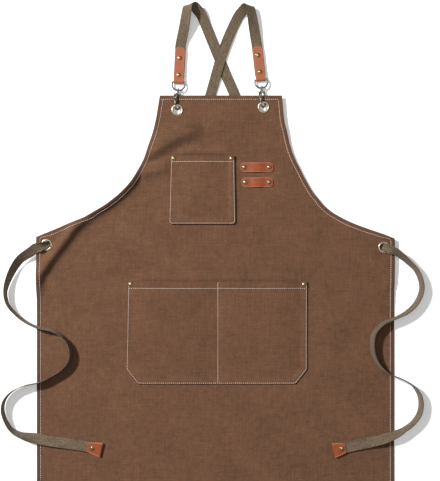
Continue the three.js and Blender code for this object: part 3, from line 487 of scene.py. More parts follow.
class ApronTrim(PropertyGroup):
    """Straps, leather and metal"""

    webbing: colour_property("Webbing", "Colour of the cotton webbing", "#675847")
    leather: colour_property("Leather", "Colour of the tanned leather", "#8a4527")
    # This pale colour is also painted over the shoulder tabs at part strength, as painted light
    leather_edge: colour_property("Leather edge", "Colour of the rubbed leather and its edges", "#ae7253")
    rivet: colour_property("Rivets", "Colour of the antique brass rivets", "#b8a07a")
    eyelet: colour_property("Eyelets", "Colour of the pale brass eyelets", "#d8cbb2")
    steel: colour_property("Hooks", "Colour of the gunmetal hooks", "#b9b2a2")
    wire: colour_property("Wire", "Colour of the dark wire loops and swivel eyes", "#757a7a")


class ApronStage(PropertyGroup):
    """Floor, lights and camera"""

    floor: colour_property("Floor", "Colour of the floor", "#f4f4f4")
    glow: FloatProperty(name="Floor glow", description="Strength of the floor's own light, as on a lit table",
                        default=0.27, min=0)
    key: FloatProperty(name="Key light", description="Power of the main light", default=252, min=0,
                       unit="POWER")
    fill: FloatProperty(name="Fill light", description="Strength of the light from all round", default=0.15,
                        min=0)
    overhead: FloatProperty(name="Overhead light", description="Power of the broad light overhead",
                            default=32, min=0, unit="POWER")
    camera_height: length_property("Camera height", "Height of the camera over the floor", 1.8)
    frame_height: length_property("Frame height", "Height of the picture on the floor", 0.915)


# Tables and lines


@lru_cache(maxsize=None)
def table_slopes(rows, column):
    """A table's first column, another of its columns, and that one's slopes, which never overshoot."""
    keys = [row[0] for row in rows]
    values = [getattr(row, column) for row in rows]
    secants = [(values[place + 1] - values[place]) / (keys[place + 1] - keys[place])
               for place in range(len(rows) - 1)]
    slopes = [secants[0]]
    for before, after in zip(secants, secants[1:]):
        slopes.append(0 if before * after <= 0 else 2 * before * after / (before + after))
    slopes.append(secants[-1])
    return keys, values, slopes


def eased(rows, at, column):
    """Smooth value of a table's column where its first column, which rises, is at."""
    keys, values, slopes = table_slopes(rows, column)
    at = min(max(at, keys[0]), keys[-1])
    span = min(bisect_right(keys, at) - 1, len(keys) - 2)
    width = keys[span + 1] - keys[span]
    part = (at - keys[span]) / width
    near = (1 + 2 * part) * values[span] + part * width * slopes[span]
    far = (3 - 2 * part) * values[span + 1] + (part - 1) * width * slopes[span + 1]
    return near * (1 - part) ** 2 + far * part ** 2


def smoothstep(value, low, high):
    """0 below low, 1 above high and smooth between."""
    part = min(max((value - low) / (high - low), 0), 1)
    return part * part * (3 - 2 * part)


def mix(low, high, part):
    """The value a part of the way from low to high."""
    return low + (high - low) * part


def bearing(degrees):
    """Level direction at an angle from +X."""
    turn = math.radians(degrees)
    return Vector((math.cos(turn), math.sin(turn), 0))


def centre_of(node):
    """Middle of a CAD node's box."""
    low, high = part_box(node)
    return (low + high) / 2


# How the cloth lies


def near_route(x, y, route):
    """Distance from a route of plan points, side (1 right of the way, -1 left), and part of the way."""
    total = sum(math.dist(start, end) for start, end in zip(route, route[1:]))
    passed = 0
    nearest = (math.inf, 0, 0)
    for start, end in zip(route, route[1:]):
        length = math.dist(start, end)
        way = ((end[0] - start[0]) / length, (end[1] - start[1]) / length)
        along = min(max((x - start[0]) * way[0] + (y - start[1]) * way[1], 0), length)
        distance = math.hypot(x - start[0] - along * way[0], y - start[1] - along * way[1])
        if distance < nearest[0]:
            right = (x - start[0]) * way[1] - (y - start[1]) * way[0]
            nearest = (distance, right / max(distance, 1e-9), (passed + along) / total)
        passed += length
    return nearest


def fold_rise(x, y, fold):
    """Height that a fold adds at a plan point. A flap keeps its height behind its route."""
    distance, side, part = near_route(x, y, fold.route)
    if not fold.back:
        flap = 1 - smoothstep(distance, FLAP_REACH, 2 * FLAP_REACH)
        return fold.height * mix(math.exp(-(distance / fold.fall) ** 2), flap, smoothstep(-side, 0, 1))
    spread = mix(fold.back, fold.fall, (1 + side) / 2)
    ends = smoothstep(part, 0, FOLD_FADE) * (1 - smoothstep(part, 1 - FOLD_FADE, 1))
    return fold.height * ends * math.exp(-(distance / spread) ** 2)


FITTINGS = [centre_of(name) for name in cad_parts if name.startswith(("rivet_", "eyelet_"))]


def wrinkle_rise(x, y):
    """Soft unevenness of the cloth, which dies out at the fittings."""
    nearest = min(math.hypot(x - place.x, y - place.y) for place in FITTINGS)
    rise = 0
    for row in WRINKLES:
        rise += row.height * (1 + noise.noise(Vector((x / row.size, y / row.size, row.size)))) / 2
    return rise * smoothstep(nearest, WRINKLE_START, WRINKLE_FULL)


def cloth_under(x, y):
    """Height of the canvas's underside."""
    return eased(LIE, y, "under") + max(fold_rise(x, y, fold) for fold in FOLDS) + wrinkle_rise(x, y)


def edge_stretch(y, side):
    """How much wider a strip along a side edge is, measured level, than square across it."""
    reach = 0.003
    run = eased(ARMHOLES, y + reach, side) - eased(ARMHOLES, y - reach, side)
    return math.hypot(1, run / (2 * reach))


def hem_offset(x, y):
    """Distance from the apron's nearest edge."""
    left = (x - eased(ARMHOLES, y, "left")) / edge_stretch(y, "left")
    right = (eased(ARMHOLES, y, "right") - x) / edge_stretch(y, "right")
    return min(left, right, BIB_TOP - y, y - SKIRT_HEM)


def sewn_edge_rise(offset, along, hem, extra):
    """Profile of a sewn edge: rounded over, thicker to the stitching, with a puckered groove there."""
    round_off = RIM_DROP * (1 - smoothstep(offset, 0, RIM_REACH))
    body = extra * (1 - smoothstep(offset, hem, hem + HEM_STEP))
    groove = GROOVE_DEPTH * math.exp(-((offset - hem) / GROOVE_REACH) ** 2)
    pucker = PUCKER * math.sin(along / PUCKER_STEP) * math.exp(-((offset - hem) / PUCKER_REACH) ** 2)
    drift = ROPING_DRIFT * math.sin(along / ROPING_DRIFT_STEP)
    roping = ROPING * math.sin((along + offset) / ROPING_STEP + drift)
    return body - round_off - groove + pucker + roping * (1 - smoothstep(offset, ROPING_SHARE * hem, hem))


def canvas_top(x, y, settings):
    """Height of the canvas's upper face."""
    offset = hem_offset(x, y)
    rise = sewn_edge_rise(offset, x + y, settings.hem, HEM_EXTRA) if offset < 3 * settings.hem else 0
    return cloth_under(x, y) + CANVAS + rise


def pocket_side(pocket, y, side):
    """Left or right edge of a pocket, whose bottom corners are cut or rounded."""
    top, foot = getattr(pocket, side)
    corner = pocket.foot + pocket.cut_height
    part = min(max((pocket.mouth - y) / (pocket.mouth - corner), 0), 1)
    depth = min(max((corner - y) / pocket.cut_height, 0), 1)
    inset = pocket.cut * (1 - (1 - depth ** pocket.bend) ** (1 / pocket.bend))
    return mix(top, foot, part) + (inset if side == "left" else -inset)


def pocket_stretch(pocket, y, side):
    """As edge_stretch, for a pocket's side."""
    reach = 0.0006
    steepest = 3
    run = pocket_side(pocket, y + reach, side) - pocket_side(pocket, y - reach, side)
    return math.hypot(1, min(abs(run) / (2 * reach), steepest))


def pocket_swell(pocket, x, y):
    """How far the pocket stands off the apron: flat at its seams, most at the middle of its mouth."""
    left = pocket_side(pocket, y, "left") + SEAM_FLAT
    right = pocket_side(pocket, y, "right") - SEAM_FLAT
    lines = (left, *pocket.seams, right)
    fullness = 0.8
    swell = 0
    for start, end in zip(lines, lines[1:]):
        if start < x < end:
            swell = math.sin(math.pi * (x - start) / (end - start)) ** fullness
    part = min(max((y - pocket.foot) / (pocket.mouth - pocket.foot), 0), 1)
    return pocket.rise * swell * math.sin(math.pi / 2 * part)


def pocket_top(pocket, x, y, settings):
    """Height of a pocket's upper face."""
    left = (x - pocket_side(pocket, y, "left")) / pocket_stretch(pocket, y, "left")
    right = (pocket_side(pocket, y, "right") - x) / pocket_stretch(pocket, y, "right")
    offset = min(left, right, y - pocket.foot)
    edge = 0
    if offset < POCKET_EDGE_REACH:
        edge = sewn_edge_rise(offset, x + y, settings.stitch_inset, POCKET_EDGE_EXTRA)
    edge += pocket.fold * (1 - smoothstep(min(right, y - pocket.foot), POCKET_LIFT_FULL, POCKET_LIFT_END))
    mouth = 0
    if pocket.mouth - y < POCKET_MOUTH_REACH:
        mouth = sewn_edge_rise(pocket.mouth - y, x, pocket.hem, POCKET_HEM_EXTRA)
    seam = 0
    for place in pocket.seams:
        seam -= SEAM_DEPTH * math.exp(-((x - place) / SEAM_REACH) ** 2)
    swell = pocket_swell(pocket, x, y)
    return cloth_under(x, y) + CANVAS + GAP + POCKET_CLOTH + swell + edge + mouth + seam


# Meshes


def grid_mesh(columns, rows, place, wear=None, weave=None):
    """A grid whose vertices go where place says, with an attribute that marks edges and hems and the painted
    light on the shoulder tabs, and a weave map.
    """
    mesh = bmesh.new()
    worn_and_lit = mesh.verts.layers.float.new("wear")
    map_layer = mesh.loops.layers.uv.new("weave")
    bmesh.ops.create_grid(mesh, x_segments=columns - 1, y_segments=rows - 1, size=0.5)
    spots = {}
    for vertex in mesh.verts:
        column = round((vertex.co.x + 0.5) * (columns - 1))
        row = round((vertex.co.y + 0.5) * (rows - 1))
        spots[vertex] = (column, row)
        vertex.co = place(column, row)
        vertex[worn_and_lit] = wear(column, row) if wear else 0
    if weave:
        for face in mesh.faces:
            for loop in face.loops:
                loop[map_layer].uv = weave(*spots[loop.vert])
    return mesh


Station = namedtuple("Station", "place along face width curl", defaults=(0,))


def ribbon(stations, cells, rubbed_and_lit=0):
    """A band through stations, curled across where they say so, with its weave map in metres."""
    reaches = [0]
    for before, after in zip(stations, stations[1:]):
        reaches.append(reaches[-1] + (after.place - before.place).length)

    def place(column, row):
        station = stations[row]
        across = station.along.cross(station.face).normalized()
        reach = (column / cells - 0.5) * station.width
        if not station.curl:
            return station.place + across * reach
        radius = station.width / station.curl
        bend = reach / radius
        return station.place + across * radius * math.sin(bend) + station.face * radius * (1 - math.cos(bend))

    # Edges are marked in full; the rest takes the given share, which on the shoulder tabs is painted light
    def wear(column, row):
        edge = min(column, cells - column, row, len(stations) - 1 - row)
        return 1 if edge == 0 else rubbed_and_lit

    def weave(column, row):
        return (column / cells - 0.5) * stations[row].width, reaches[row]

    return grid_mesh(cells + 1, len(stations), place, wear, weave)


def smooth_line(points):
    """Centripetal curve through points, as a function of the point's number that gives place and way."""
    line = [2 * points[0] - points[1], *points, 2 * points[-1] - points[-2]]

    def at(number):
        span = min(int(number), len(points) - 2)
        part = number - span
        before, start, end, after = line[span:span + 4]
        steps = [math.sqrt((b - a).length) for a, b in ((before, start), (start, end), (end, after))]
        leave = ((start - before) / steps[0] - (end - before) / (steps[0] + steps[1])
                 + (end - start) / steps[1])
        arrive = ((end - start) / steps[1] - (after - start) / (steps[1] + steps[2])
                  + (after - end) / steps[2])
        leave = leave * steps[1]
        arrive = arrive * steps[1]
        square = 3 * (end - start) - 2 * leave - arrive
        cube = 2 * (start - end) + leave + arrive
        place = start + leave * part + square * part ** 2 + cube * part ** 3
        way = leave + 2 * square * part + 3 * cube * part ** 2
        return place, way.normalized()

    return at


def turned(profile, axis=UP, centre=(0, 0, 0), closed=False, angle=360):
    """A solid turned about an axis from a profile of (radius, height)."""
    mesh = bmesh.new()
    out = Vector((1, 0, 0))
    centre = Vector(centre)
    axis = Vector(axis)
    verts = [mesh.verts.new(centre + out * radius + axis * height) for radius, height in profile]
    pairs = list(zip(verts, verts[1:]))
    if closed:
        pairs.append((verts[-1], verts[0]))
    edges = [mesh.edges.new(pair) for pair in pairs]
    bmesh.ops.spin(mesh, geom=verts + edges, cent=centre, axis=axis, angle=math.radians(angle),
                   steps=TURNED_STEPS, use_merge=angle == 360)
    bmesh.ops.remove_doubles(mesh, verts=mesh.verts, dist=1e-6)
    bmesh.ops.holes_fill(mesh, edges=mesh.edges, sides=0)
    bmesh.ops.recalc_face_normals(mesh, faces=mesh.faces)
    return mesh


def sweep(points, flat, radius, closed=False):
    """A round wire along points that lie in the plane square to flat."""
    mesh = bmesh.new()
    rings = []
    count = len(points)
    for number, point in enumerate(points):
        before = points[(number - 1) % count] if closed or number else point
        after = points[(number + 1) % count] if closed or number < count - 1 else point
        way = (after - before).normalized()
        side = way.cross(flat).normalized()
        turn = Matrix((flat, side, way)).transposed().to_4x4()
        ring = bmesh.ops.create_circle(mesh, segments=WIRE_SIDES, radius=radius,
                                       matrix=Matrix.Translation(point) @ turn)["verts"]
        rings.append(set(ring))
    pairs = list(zip(rings, rings[1:]))
    if closed:
        pairs.append((rings[-1], rings[0]))
    for first, second in pairs:
        edges = {edge for vert in first | second for edge in vert.link_edges
                 if set(edge.verts) <= first or set(edge.verts) <= second}
        bmesh.ops.bridge_loops(mesh, edges=list(edges))
    bmesh.ops.holes_fill(mesh, edges=mesh.edges, sides=0)
    bmesh.ops.recalc_face_normals(mesh, faces=mesh.faces)
    return mesh


def join_meshes(meshes, matrix=Matrix()):
    """Several bmeshes as one, moved by a matrix."""
    joined = bpy.data.meshes.new("joined")
    whole = bmesh.new()
    for mesh in meshes:
        mesh.to_mesh(joined)
        mesh.free()
        whole.from_mesh(joined)
    bpy.data.meshes.remove(joined)
    bmesh.ops.transform(whole, matrix=matrix, verts=whole.verts)
    return whole


def add_piece(name, mesh, material, nodes=(), body=BODY):
    """Makes an object of a mesh, rides it on a body and hides the solids that it stands for."""
    data = bpy.data.meshes.new(name)
    mesh.to_mesh(data)
    mesh.free()
    data.shade_smooth()
    data.materials.append(material)
    piece = bpy.data.objects.new(name, data)
    bpy.context.scene.collection.objects.link(piece)
    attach(piece, body)
    if nodes:
        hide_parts(*nodes)
    return piece


def thicken(piece, thickness, offset, bevel):
    """Gives a sheet its thickness and rounds the edges of its rim."""
    solid = piece.modifiers.new("thickness", "SOLIDIFY")
    solid.thickness = thickness
    solid.offset = offset
    rim = piece.modifiers.new("rim", "BEVEL")
    rim.width = bevel
    rim.segments = 2
    rim.limit_method = "ANGLE"
    rim.angle_limit = math.radians(60)
    rim.harden_normals = True
    return solid


# Materials


def add_node(tree, kind, feeds=(), **settings):
    """Adds a node, sets its properties, and feeds its inputs with values or with other nodes' outputs."""
    node = tree.nodes.new(kind)
    for name, value in settings.items():
        setattr(node, name, value)
    for socket, value in dict(feeds).items():
        if isinstance(value, bpy.types.NodeSocket):
            tree.links.new(value, node.inputs[socket])
        else:
            node.inputs[socket].default_value = value
    return node


def start_material(name, **sockets):
    """A new material with its shader's constant sockets set."""
    material = bpy.data.materials.new(name)
    material.use_nodes = True
    shader = material.node_tree.nodes["Principled BSDF"]
    for socket, value in sockets.items():
        shader.inputs[socket.replace("_", " ")].default_value = value
    return material, material.node_tree, shader


def tone(colour, gain=1):
    """A colour with its brightness changed, as RGBA."""
    return tuple(min(part * gain, 1) for part in colour) + (1,)


YARN = 0.0013
RIB = 0.0014
BAND_PERIOD = math.pi / 10

# Sockets of a Mix node that mixes colours
MIX_PART = 0
MIX_FIRST = 6
MIX_SECOND = 7
MIX_RESULT = 2


def washed_canvas(name, settings):
    """Plain-woven cotton canvas, dyed and washed."""
    # Matt, with flecked yarns both ways, cloudy fading and darker hems. The yarns are drawn at
    # 1.3 mm, coarser than in real canvas, so that they show
    cloth = settings.cloth
    slub = 0.045
    cloud_size = 0.07
    blotch_size = 0.011
    fleck_size = 0.0035
    material, tree, shader = start_material(name, Roughness=0.92, Sheen_Weight=0.12,
                                            Sheen_Roughness=0.5, Specular_IOR_Level=0.25)
    place = add_node(tree, "ShaderNodeTexCoord").outputs["Object"]
    warp_place = add_node(tree, "ShaderNodeMapping",
                          {"Vector": place, "Scale": (1 / YARN, 1 / slub, 1 / slub)})
    weft_place = add_node(tree, "ShaderNodeMapping",
                          {"Vector": place, "Scale": (1 / slub, 1 / YARN, 1 / slub)})
    warp = add_node(tree, "ShaderNodeTexNoise", {"Vector": warp_place.outputs[0], "Scale": 1, "Detail": 2})
    weft = add_node(tree, "ShaderNodeTexNoise", {"Vector": weft_place.outputs[0], "Scale": 1, "Detail": 2})
    cloud = add_node(tree, "ShaderNodeTexNoise", {"Vector": place, "Scale": 1 / cloud_size, "Detail": 3})
    fleck = add_node(tree, "ShaderNodeTexNoise", {"Vector": place, "Scale": 1 / fleck_size, "Detail": 2})
    yarns = add_node(tree, "ShaderNodeMath", {0: warp.outputs[0], 1: weft.outputs[0]}, operation="ADD")
    spots = add_node(tree, "ShaderNodeMath", {0: yarns.outputs[0], 1: fleck.outputs[0]}, operation="ADD")
    level = add_node(tree, "ShaderNodeMapRange",
                     {"Value": spots.outputs[0], "From Min": 1.1, "From Max": 1.9})
    dyed = add_node(tree, "ShaderNodeMix", {MIX_PART: level.outputs[0], MIX_FIRST: tone(cloth.canvas, 0.77),
                                            MIX_SECOND: tone(cloth.canvas, 1.24)}, data_type="RGBA")
    blotch = add_node(tree, "ShaderNodeTexNoise", {"Vector": place, "Scale": 1 / blotch_size, "Detail": 2})
    patches = add_node(tree, "ShaderNodeMath", {0: cloud.outputs[0], 1: blotch.outputs[0]}, operation="ADD")
    fading = add_node(tree, "ShaderNodeMapRange", {"Value": patches.outputs[0], "From Min": 0.7,
                                                   "From Max": 1.3, "To Min": 0.86, "To Max": 1.14})
    faded = add_node(tree, "ShaderNodeVectorMath",
                     {0: dyed.outputs[MIX_RESULT], "Scale": fading.outputs[0]}, operation="SCALE")
    wear = add_node(tree, "ShaderNodeAttribute", attribute_name="wear")
    # On the canvas this mark only darkens the hems; it paints no light
    rubbed_and_lit = add_node(tree, "ShaderNodeMath", {0: wear.outputs["Fac"], 1: weft.outputs[0]},
                      operation="MULTIPLY")
    worn_and_lit = add_node(tree, "ShaderNodeMix", {MIX_PART: rubbed_and_lit.outputs[0], MIX_FIRST: faded.outputs[0],
                                            MIX_SECOND: tone(cloth.hems)}, data_type="RGBA")
    tree.links.new(worn_and_lit.outputs[MIX_RESULT], shader.inputs["Base Color"])
    over = add_node(tree, "ShaderNodeTexWave", {"Vector": place, "Scale": BAND_PERIOD / YARN / 2},
                    bands_direction="X")
    under = add_node(tree, "ShaderNodeTexWave", {"Vector": place, "Scale": BAND_PERIOD / YARN / 2},
                     bands_direction="Y")
    crossing = add_node(tree, "ShaderNodeMath", {0: over.outputs["Fac"], 1: under.outputs["Fac"]},
                        operation="MULTIPLY")
    relief = add_node(tree, "ShaderNodeMath", {0: crossing.outputs[0], 1: yarns.outputs[0]}, operation="ADD")
    bump = add_node(tree, "ShaderNodeBump",
                    {"Height": relief.outputs[0], "Strength": 0.6, "Distance": 0.00035})
    tree.links.new(bump.outputs[0], shader.inputs["Normal"])
    return material


def cotton_webbing(name, settings):
    """Cotton webbing, woven with ribs across and fine lines along."""
    # Matt and dusty, with streaks along the warp and darker selvedges. The ribs are drawn at 1.4 mm,
    # coarser than in real webbing, so that they show
    trim = settings.trim
    streak_width = 0.0021
    streak_length = 0.024
    fleck_size = 0.0028
    selvedge = 0.45
    material, tree, shader = start_material(name, Roughness=0.95, Sheen_Weight=0.1,
                                            Specular_IOR_Level=0.2)
    place = add_node(tree, "ShaderNodeUVMap", uv_map="weave").outputs[0]
    along = add_node(tree, "ShaderNodeMapping",
                     {"Vector": place, "Scale": (1 / streak_width, 1 / streak_length, 1)})
    streaks = add_node(tree, "ShaderNodeTexNoise", {"Vector": along.outputs[0], "Scale": 1, "Detail": 3})
    fleck = add_node(tree, "ShaderNodeTexNoise", {"Vector": place, "Scale": 1 / fleck_size, "Detail": 2})
    yarns = add_node(tree, "ShaderNodeMath", {0: streaks.outputs[0], 1: fleck.outputs[0]}, operation="ADD")
    level = add_node(tree, "ShaderNodeMapRange",
                     {"Value": yarns.outputs[0], "From Min": 0.7, "From Max": 1.3})
    dyed = add_node(tree, "ShaderNodeMix", {MIX_PART: level.outputs[0], MIX_FIRST: tone(trim.webbing, 0.5),
                                            MIX_SECOND: tone(trim.webbing, 1.5)}, data_type="RGBA")
    wear = add_node(tree, "ShaderNodeAttribute", attribute_name="wear")
    edge = add_node(tree, "ShaderNodeMath", {0: wear.outputs["Fac"], 1: selvedge}, operation="MULTIPLY")
    worn_and_lit = add_node(tree, "ShaderNodeMix", {MIX_PART: edge.outputs[0], MIX_FIRST: dyed.outputs[MIX_RESULT],
                                            MIX_SECOND: tone(trim.webbing, 0.5)}, data_type="RGBA")
    tree.links.new(worn_and_lit.outputs[MIX_RESULT], shader.inputs["Base Color"])
    ribs = add_node(tree, "ShaderNodeTexWave", {"Vector": place, "Scale": BAND_PERIOD / RIB,
                                                "Distortion": 0.6, "Detail Scale": 3}, bands_direction="Y")
    lines = add_node(tree, "ShaderNodeTexWave", {"Vector": place, "Scale": BAND_PERIOD / RIB},
                     bands_direction="X")
    crossing = add_node(tree, "ShaderNodeMath", {0: ribs.outputs["Fac"], 1: lines.outputs["Fac"]},
                        operation="MULTIPLY")
    relief = add_node(tree, "ShaderNodeMath", {0: crossing.outputs[0], 1: streaks.outputs[0]},
                      operation="ADD")
    bump = add_node(tree, "ShaderNodeBump",
                    {"Height": relief.outputs[0], "Strength": 0.7, "Distance": 0.0004})
    tree.links.new(bump.outputs[0], shader.inputs["Normal"])
    return material


def tanned_leather(name, settings):
    """Vegetable-tanned leather with burnished edges."""
    # Semi-matt, with fine pebbled grain of about 1.2 mm, cloudy dye and paler edges. The shoulder tabs are
    # also paled all over, which is painted light
    trim = settings.trim
    cloud_size = 0.009
    grain_size = 0.0012
    edge_and_light_share = 0.8
    material, tree, shader = start_material(name, IOR=1.48, Specular_IOR_Level=0.3)
    place = add_node(tree, "ShaderNodeTexCoord").outputs["Object"]
    cloud = add_node(tree, "ShaderNodeTexNoise", {"Vector": place, "Scale": 1 / cloud_size, "Detail": 4})
    level = add_node(tree, "ShaderNodeMapRange",
                     {"Value": cloud.outputs[0], "From Min": 0.3, "From Max": 0.7})
    dyed = add_node(tree, "ShaderNodeMix", {MIX_PART: level.outputs[0], MIX_FIRST: tone(trim.leather, 0.8),
                                            MIX_SECOND: tone(trim.leather, 1.15)}, data_type="RGBA")
    # The mark gives the burnished edges, and on the shoulder tabs painted light
    wear = add_node(tree, "ShaderNodeAttribute", attribute_name="wear")
    rubbed_and_lit = add_node(tree, "ShaderNodeMath", {0: wear.outputs["Fac"], 1: edge_and_light_share}, operation="MULTIPLY")
    worn_and_lit = add_node(tree, "ShaderNodeMix", {MIX_PART: rubbed_and_lit.outputs[0], MIX_FIRST: dyed.outputs[MIX_RESULT],
                                            MIX_SECOND: tone(trim.leather_edge)}, data_type="RGBA")
    tree.links.new(worn_and_lit.outputs[MIX_RESULT], shader.inputs["Base Color"])
    gloss = add_node(tree, "ShaderNodeMapRange", {"Value": cloud.outputs[0], "To Min": 0.5, "To Max": 0.7})
    tree.links.new(gloss.outputs[0], shader.inputs["Roughness"])
    grain = add_node(tree, "ShaderNodeTexVoronoi", {"Vector": place, "Scale": 1 / grain_size})
    bump = add_node(tree, "ShaderNodeBump", {"Height": grain.outputs["Distance"], "Strength": 0.25,
                                             "Distance": 0.0002})
    tree.links.new(bump.outputs[0], shader.inputs["Normal"])
    return material


def sewing_thread(name, settings):
    """Spun polyester thread."""
    # Slightly lustrous, with a little dirt from stitch to stitch
    dirt_size = 0.02
    ply = 0.0007
    material, tree, shader = start_material(name, Roughness=0.7, Sheen_Weight=0.1)
    place = add_node(tree, "ShaderNodeTexCoord").outputs["Object"]
    dirt = add_node(tree, "ShaderNodeTexNoise", {"Vector": place, "Scale": 1 / dirt_size, "Detail": 3})
    thread = settings.cloth.thread
    colour = add_node(tree, "ShaderNodeMix", {MIX_PART: dirt.outputs[0], MIX_FIRST: tone(thread, 0.75),
                                              MIX_SECOND: tone(thread, 1.15)}, data_type="RGBA")
    tree.links.new(colour.outputs[MIX_RESULT], shader.inputs["Base Color"])
    twist = add_node(tree, "ShaderNodeTexWave", {"Vector": place, "Scale": BAND_PERIOD / ply},
                     bands_direction="DIAGONAL")
    bump = add_node(tree, "ShaderNodeBump",
                    {"Height": twist.outputs["Fac"], "Strength": 0.4, "Distance": 0.0001})
    tree.links.new(bump.outputs[0], shader.inputs["Normal"])
    return material


def aged_metal(name, colour, polish, dull):
    """A plated or polished metal, darker and duller in patches."""
    # Bright where it is rubbed, with darker and duller tarnish in patches of 3 mm and fine scratches
    patch_size = 0.003
    scratch_size = 0.0006
    material, tree, shader = start_material(name, Metallic=1.0)
    place = add_node(tree, "ShaderNodeTexCoord").outputs["Object"]
    patches = add_node(tree, "ShaderNodeTexNoise", {"Vector": place, "Scale": 1 / patch_size, "Detail": 4})
    level = add_node(tree, "ShaderNodeMapRange",
                     {"Value": patches.outputs[0], "From Min": 0.35, "From Max": 0.65})
    shade = add_node(tree, "ShaderNodeMix", {MIX_PART: level.outputs[0], MIX_FIRST: tone(colour, 0.55),
                                             MIX_SECOND: tone(colour)}, data_type="RGBA")
    tree.links.new(shade.outputs[MIX_RESULT], shader.inputs["Base Color"])
    gloss = add_node(tree, "ShaderNodeMapRange",
                     {"Value": level.outputs[0], "To Min": dull, "To Max": polish})
    tree.links.new(gloss.outputs[0], shader.inputs["Roughness"])
    scratches = add_node(tree, "ShaderNodeTexNoise",
                         {"Vector": place, "Scale": 1 / scratch_size, "Detail": 2})
    bump = add_node(tree, "ShaderNodeBump", {"Height": scratches.outputs[0], "Strength": 0.15,
                                             "Distance": 0.0001})
    tree.links.new(bump.outputs[0], shader.inputs["Normal"])
    return material


def antique_brass(name, settings):
    """Polished brass rivet caps, tarnished in patches."""
    return aged_metal(name, settings.trim.rivet, 0.22, 0.4)


def pale_brass(name, settings):
    """Pale plated brass eyelets."""
    return aged_metal(name, settings.trim.eyelet, 0.22, 0.38)


def blackened_steel(name, settings):
    """Dark plated steel wire of the loops and swivel eyes."""
    return aged_metal(name, settings.trim.wire, 0.3, 0.45)


def gunmetal_steel(name, settings):
    """Gunmetal plating on the steel hooks and their bolts."""
    return aged_metal(name, settings.trim.steel, 0.32, 0.48)


def finish(context, make):
    """The material that make builds, made once and named after it."""
    name = make.__name__.replace("_", " ")
    return bpy.data.materials.get(name) or make(name, context.scene.apron)


# Pieces


def spaced(low, high, step):
    """Evenly spaced values from low up to high, without either."""
    count = max(round((high - low) / step), 1)
    return [mix(low, high, number / count) for number in range(1, count)]


def evenly(low, high, count):
    """Values from low to high in count even steps, with both."""
    return [mix(low, high, number / count) for number in range(count + 1)]


def canvas_rows():
    """Heights of the canvas's rows of vertices, closer together where it bends."""
    foot = [SKIRT_HEM + offset for offset in HEM_OFFSETS]
    head = [BIB_TOP - offset for offset in reversed(HEM_OFFSETS)]
    bends = (foot[-1], *ROW_BENDS, head[0])
    rows = list(foot)
    for low, high, step in zip(bends, bends[1:], ROW_STEPS):
        rows += [*spaced(low, high, step), high]
    return rows + head[1:]


def canvas_columns(y):
    """Places of the canvas's columns of vertices in a row, crowded towards the sides."""
    left = eased(ARMHOLES, y, "left")
    right = eased(ARMHOLES, y, "right")
    left_hem = [left + offset * edge_stretch(y, "left") for offset in HEM_OFFSETS]
    right_hem = [right - offset * edge_stretch(y, "right") for offset in reversed(HEM_OFFSETS)]
    middle = []
    for cell in range(1, MIDDLE_CELLS):
        part = cell / MIDDLE_CELLS
        part -= CROWDING * math.sin(2 * math.pi * part) / (2 * math.pi)
        middle.append(mix(left_hem[-1], right_hem[0], part))
    return left_hem + middle + right_hem


def open_hole(mesh, place, radius):
    """Cuts a round hole in a grid."""
    inside = [vert for vert in mesh.verts if math.hypot(vert.co.x - place.x, vert.co.y - place.y) < radius]
    bmesh.ops.delete(mesh, geom=inside, context="VERTS")
    for vert in mesh.verts:
        out = Vector((vert.co.x - place.x, vert.co.y - place.y))
        if vert.is_boundary and out.length < 2 * radius:
            out.length = radius
            vert.co.x = place.x + out.x
            vert.co.y = place.y + out.y


class APRON_OT_canvas(Operator):
    """Lay the canvas body with its hems, folds and eyelet holes"""

    bl_idname = "apron.canvas"
    bl_label = "Canvas body"

    def execute(self, context):
        settings = context.scene.apron.cloth
        rows = canvas_rows()
        columns = [canvas_columns(y) for y in rows]
        corner = ARMHOLES[1].y

        def place(column, row):
            x = columns[row][column]
            y = rows[row]
            return Vector((x, y, canvas_top(x, y, settings)))

        def wear(column, row):
            offset = hem_offset(columns[row][column], rows[row])
            skirt = 1 - smoothstep(rows[row], corner - WEAR_BELOW_CORNER, corner + WEAR_ABOVE_CORNER)
            return mix(ARMHOLE_WEAR, 1, skirt) * (1 - smoothstep(offset, HEM_WEAR_FULL, HEM_WEAR_END))

        mesh = grid_mesh(len(columns[0]), len(rows), place, wear)
        eyelet_cut = 0.0086
        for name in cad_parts:
            if name.startswith("eyelet_"):
                open_hole(mesh, centre_of(name), eyelet_cut)
        piece = add_piece("canvas_body", mesh, finish(context, washed_canvas), ["apron_body"])
        hems = piece.vertex_groups.new(name="hem")
        for vert in piece.data.vertices:
            if hem_offset(vert.co.x, vert.co.y) < settings.hem + HEM_STEP:
                hems.add([vert.index], 1, "REPLACE")
        solid = thicken(piece, CANVAS + HEM_EXTRA, -1, EDGE_ROUND)
        solid.vertex_group = hems.name
        solid.thickness_vertex_group = CANVAS / (CANVAS + HEM_EXTRA)
        return {"FINISHED"}


def pocket_rows(pocket):
    """Heights of a pocket's rows of vertices from its foot up."""
    hem = pocket.hem
    foot = [pocket.foot + offset for offset in SEWN_EDGE]
    mouth = [0.015, hem + 0.0012, hem + 0.0005, hem, hem - 0.0006, hem - 0.002, 0.005, 0.0018, 0.0006, 0]
    head = [pocket.mouth - offset for offset in mouth]
    return foot + spaced(foot[-1], head[0], POCKET_ROW) + head


def pocket_columns(pocket, y):
    """Places of a pocket's columns of vertices in a row."""
    left = pocket_side(pocket, y, "left")
    right = pocket_side(pocket, y, "right")
    left_edge = [left + offset * pocket_stretch(pocket, y, "left") for offset in SEWN_EDGE]
    right_edge = [right - offset * pocket_stretch(pocket, y, "right") for offset in reversed(SEWN_EDGE)]
    cells = round((pocket.right[0] - pocket.left[0]) / POCKET_COLUMN)
    middle = [mix(left_edge[-1], right_edge[0], cell / cells) for cell in range(1, cells)]
    return left_edge + middle + right_edge


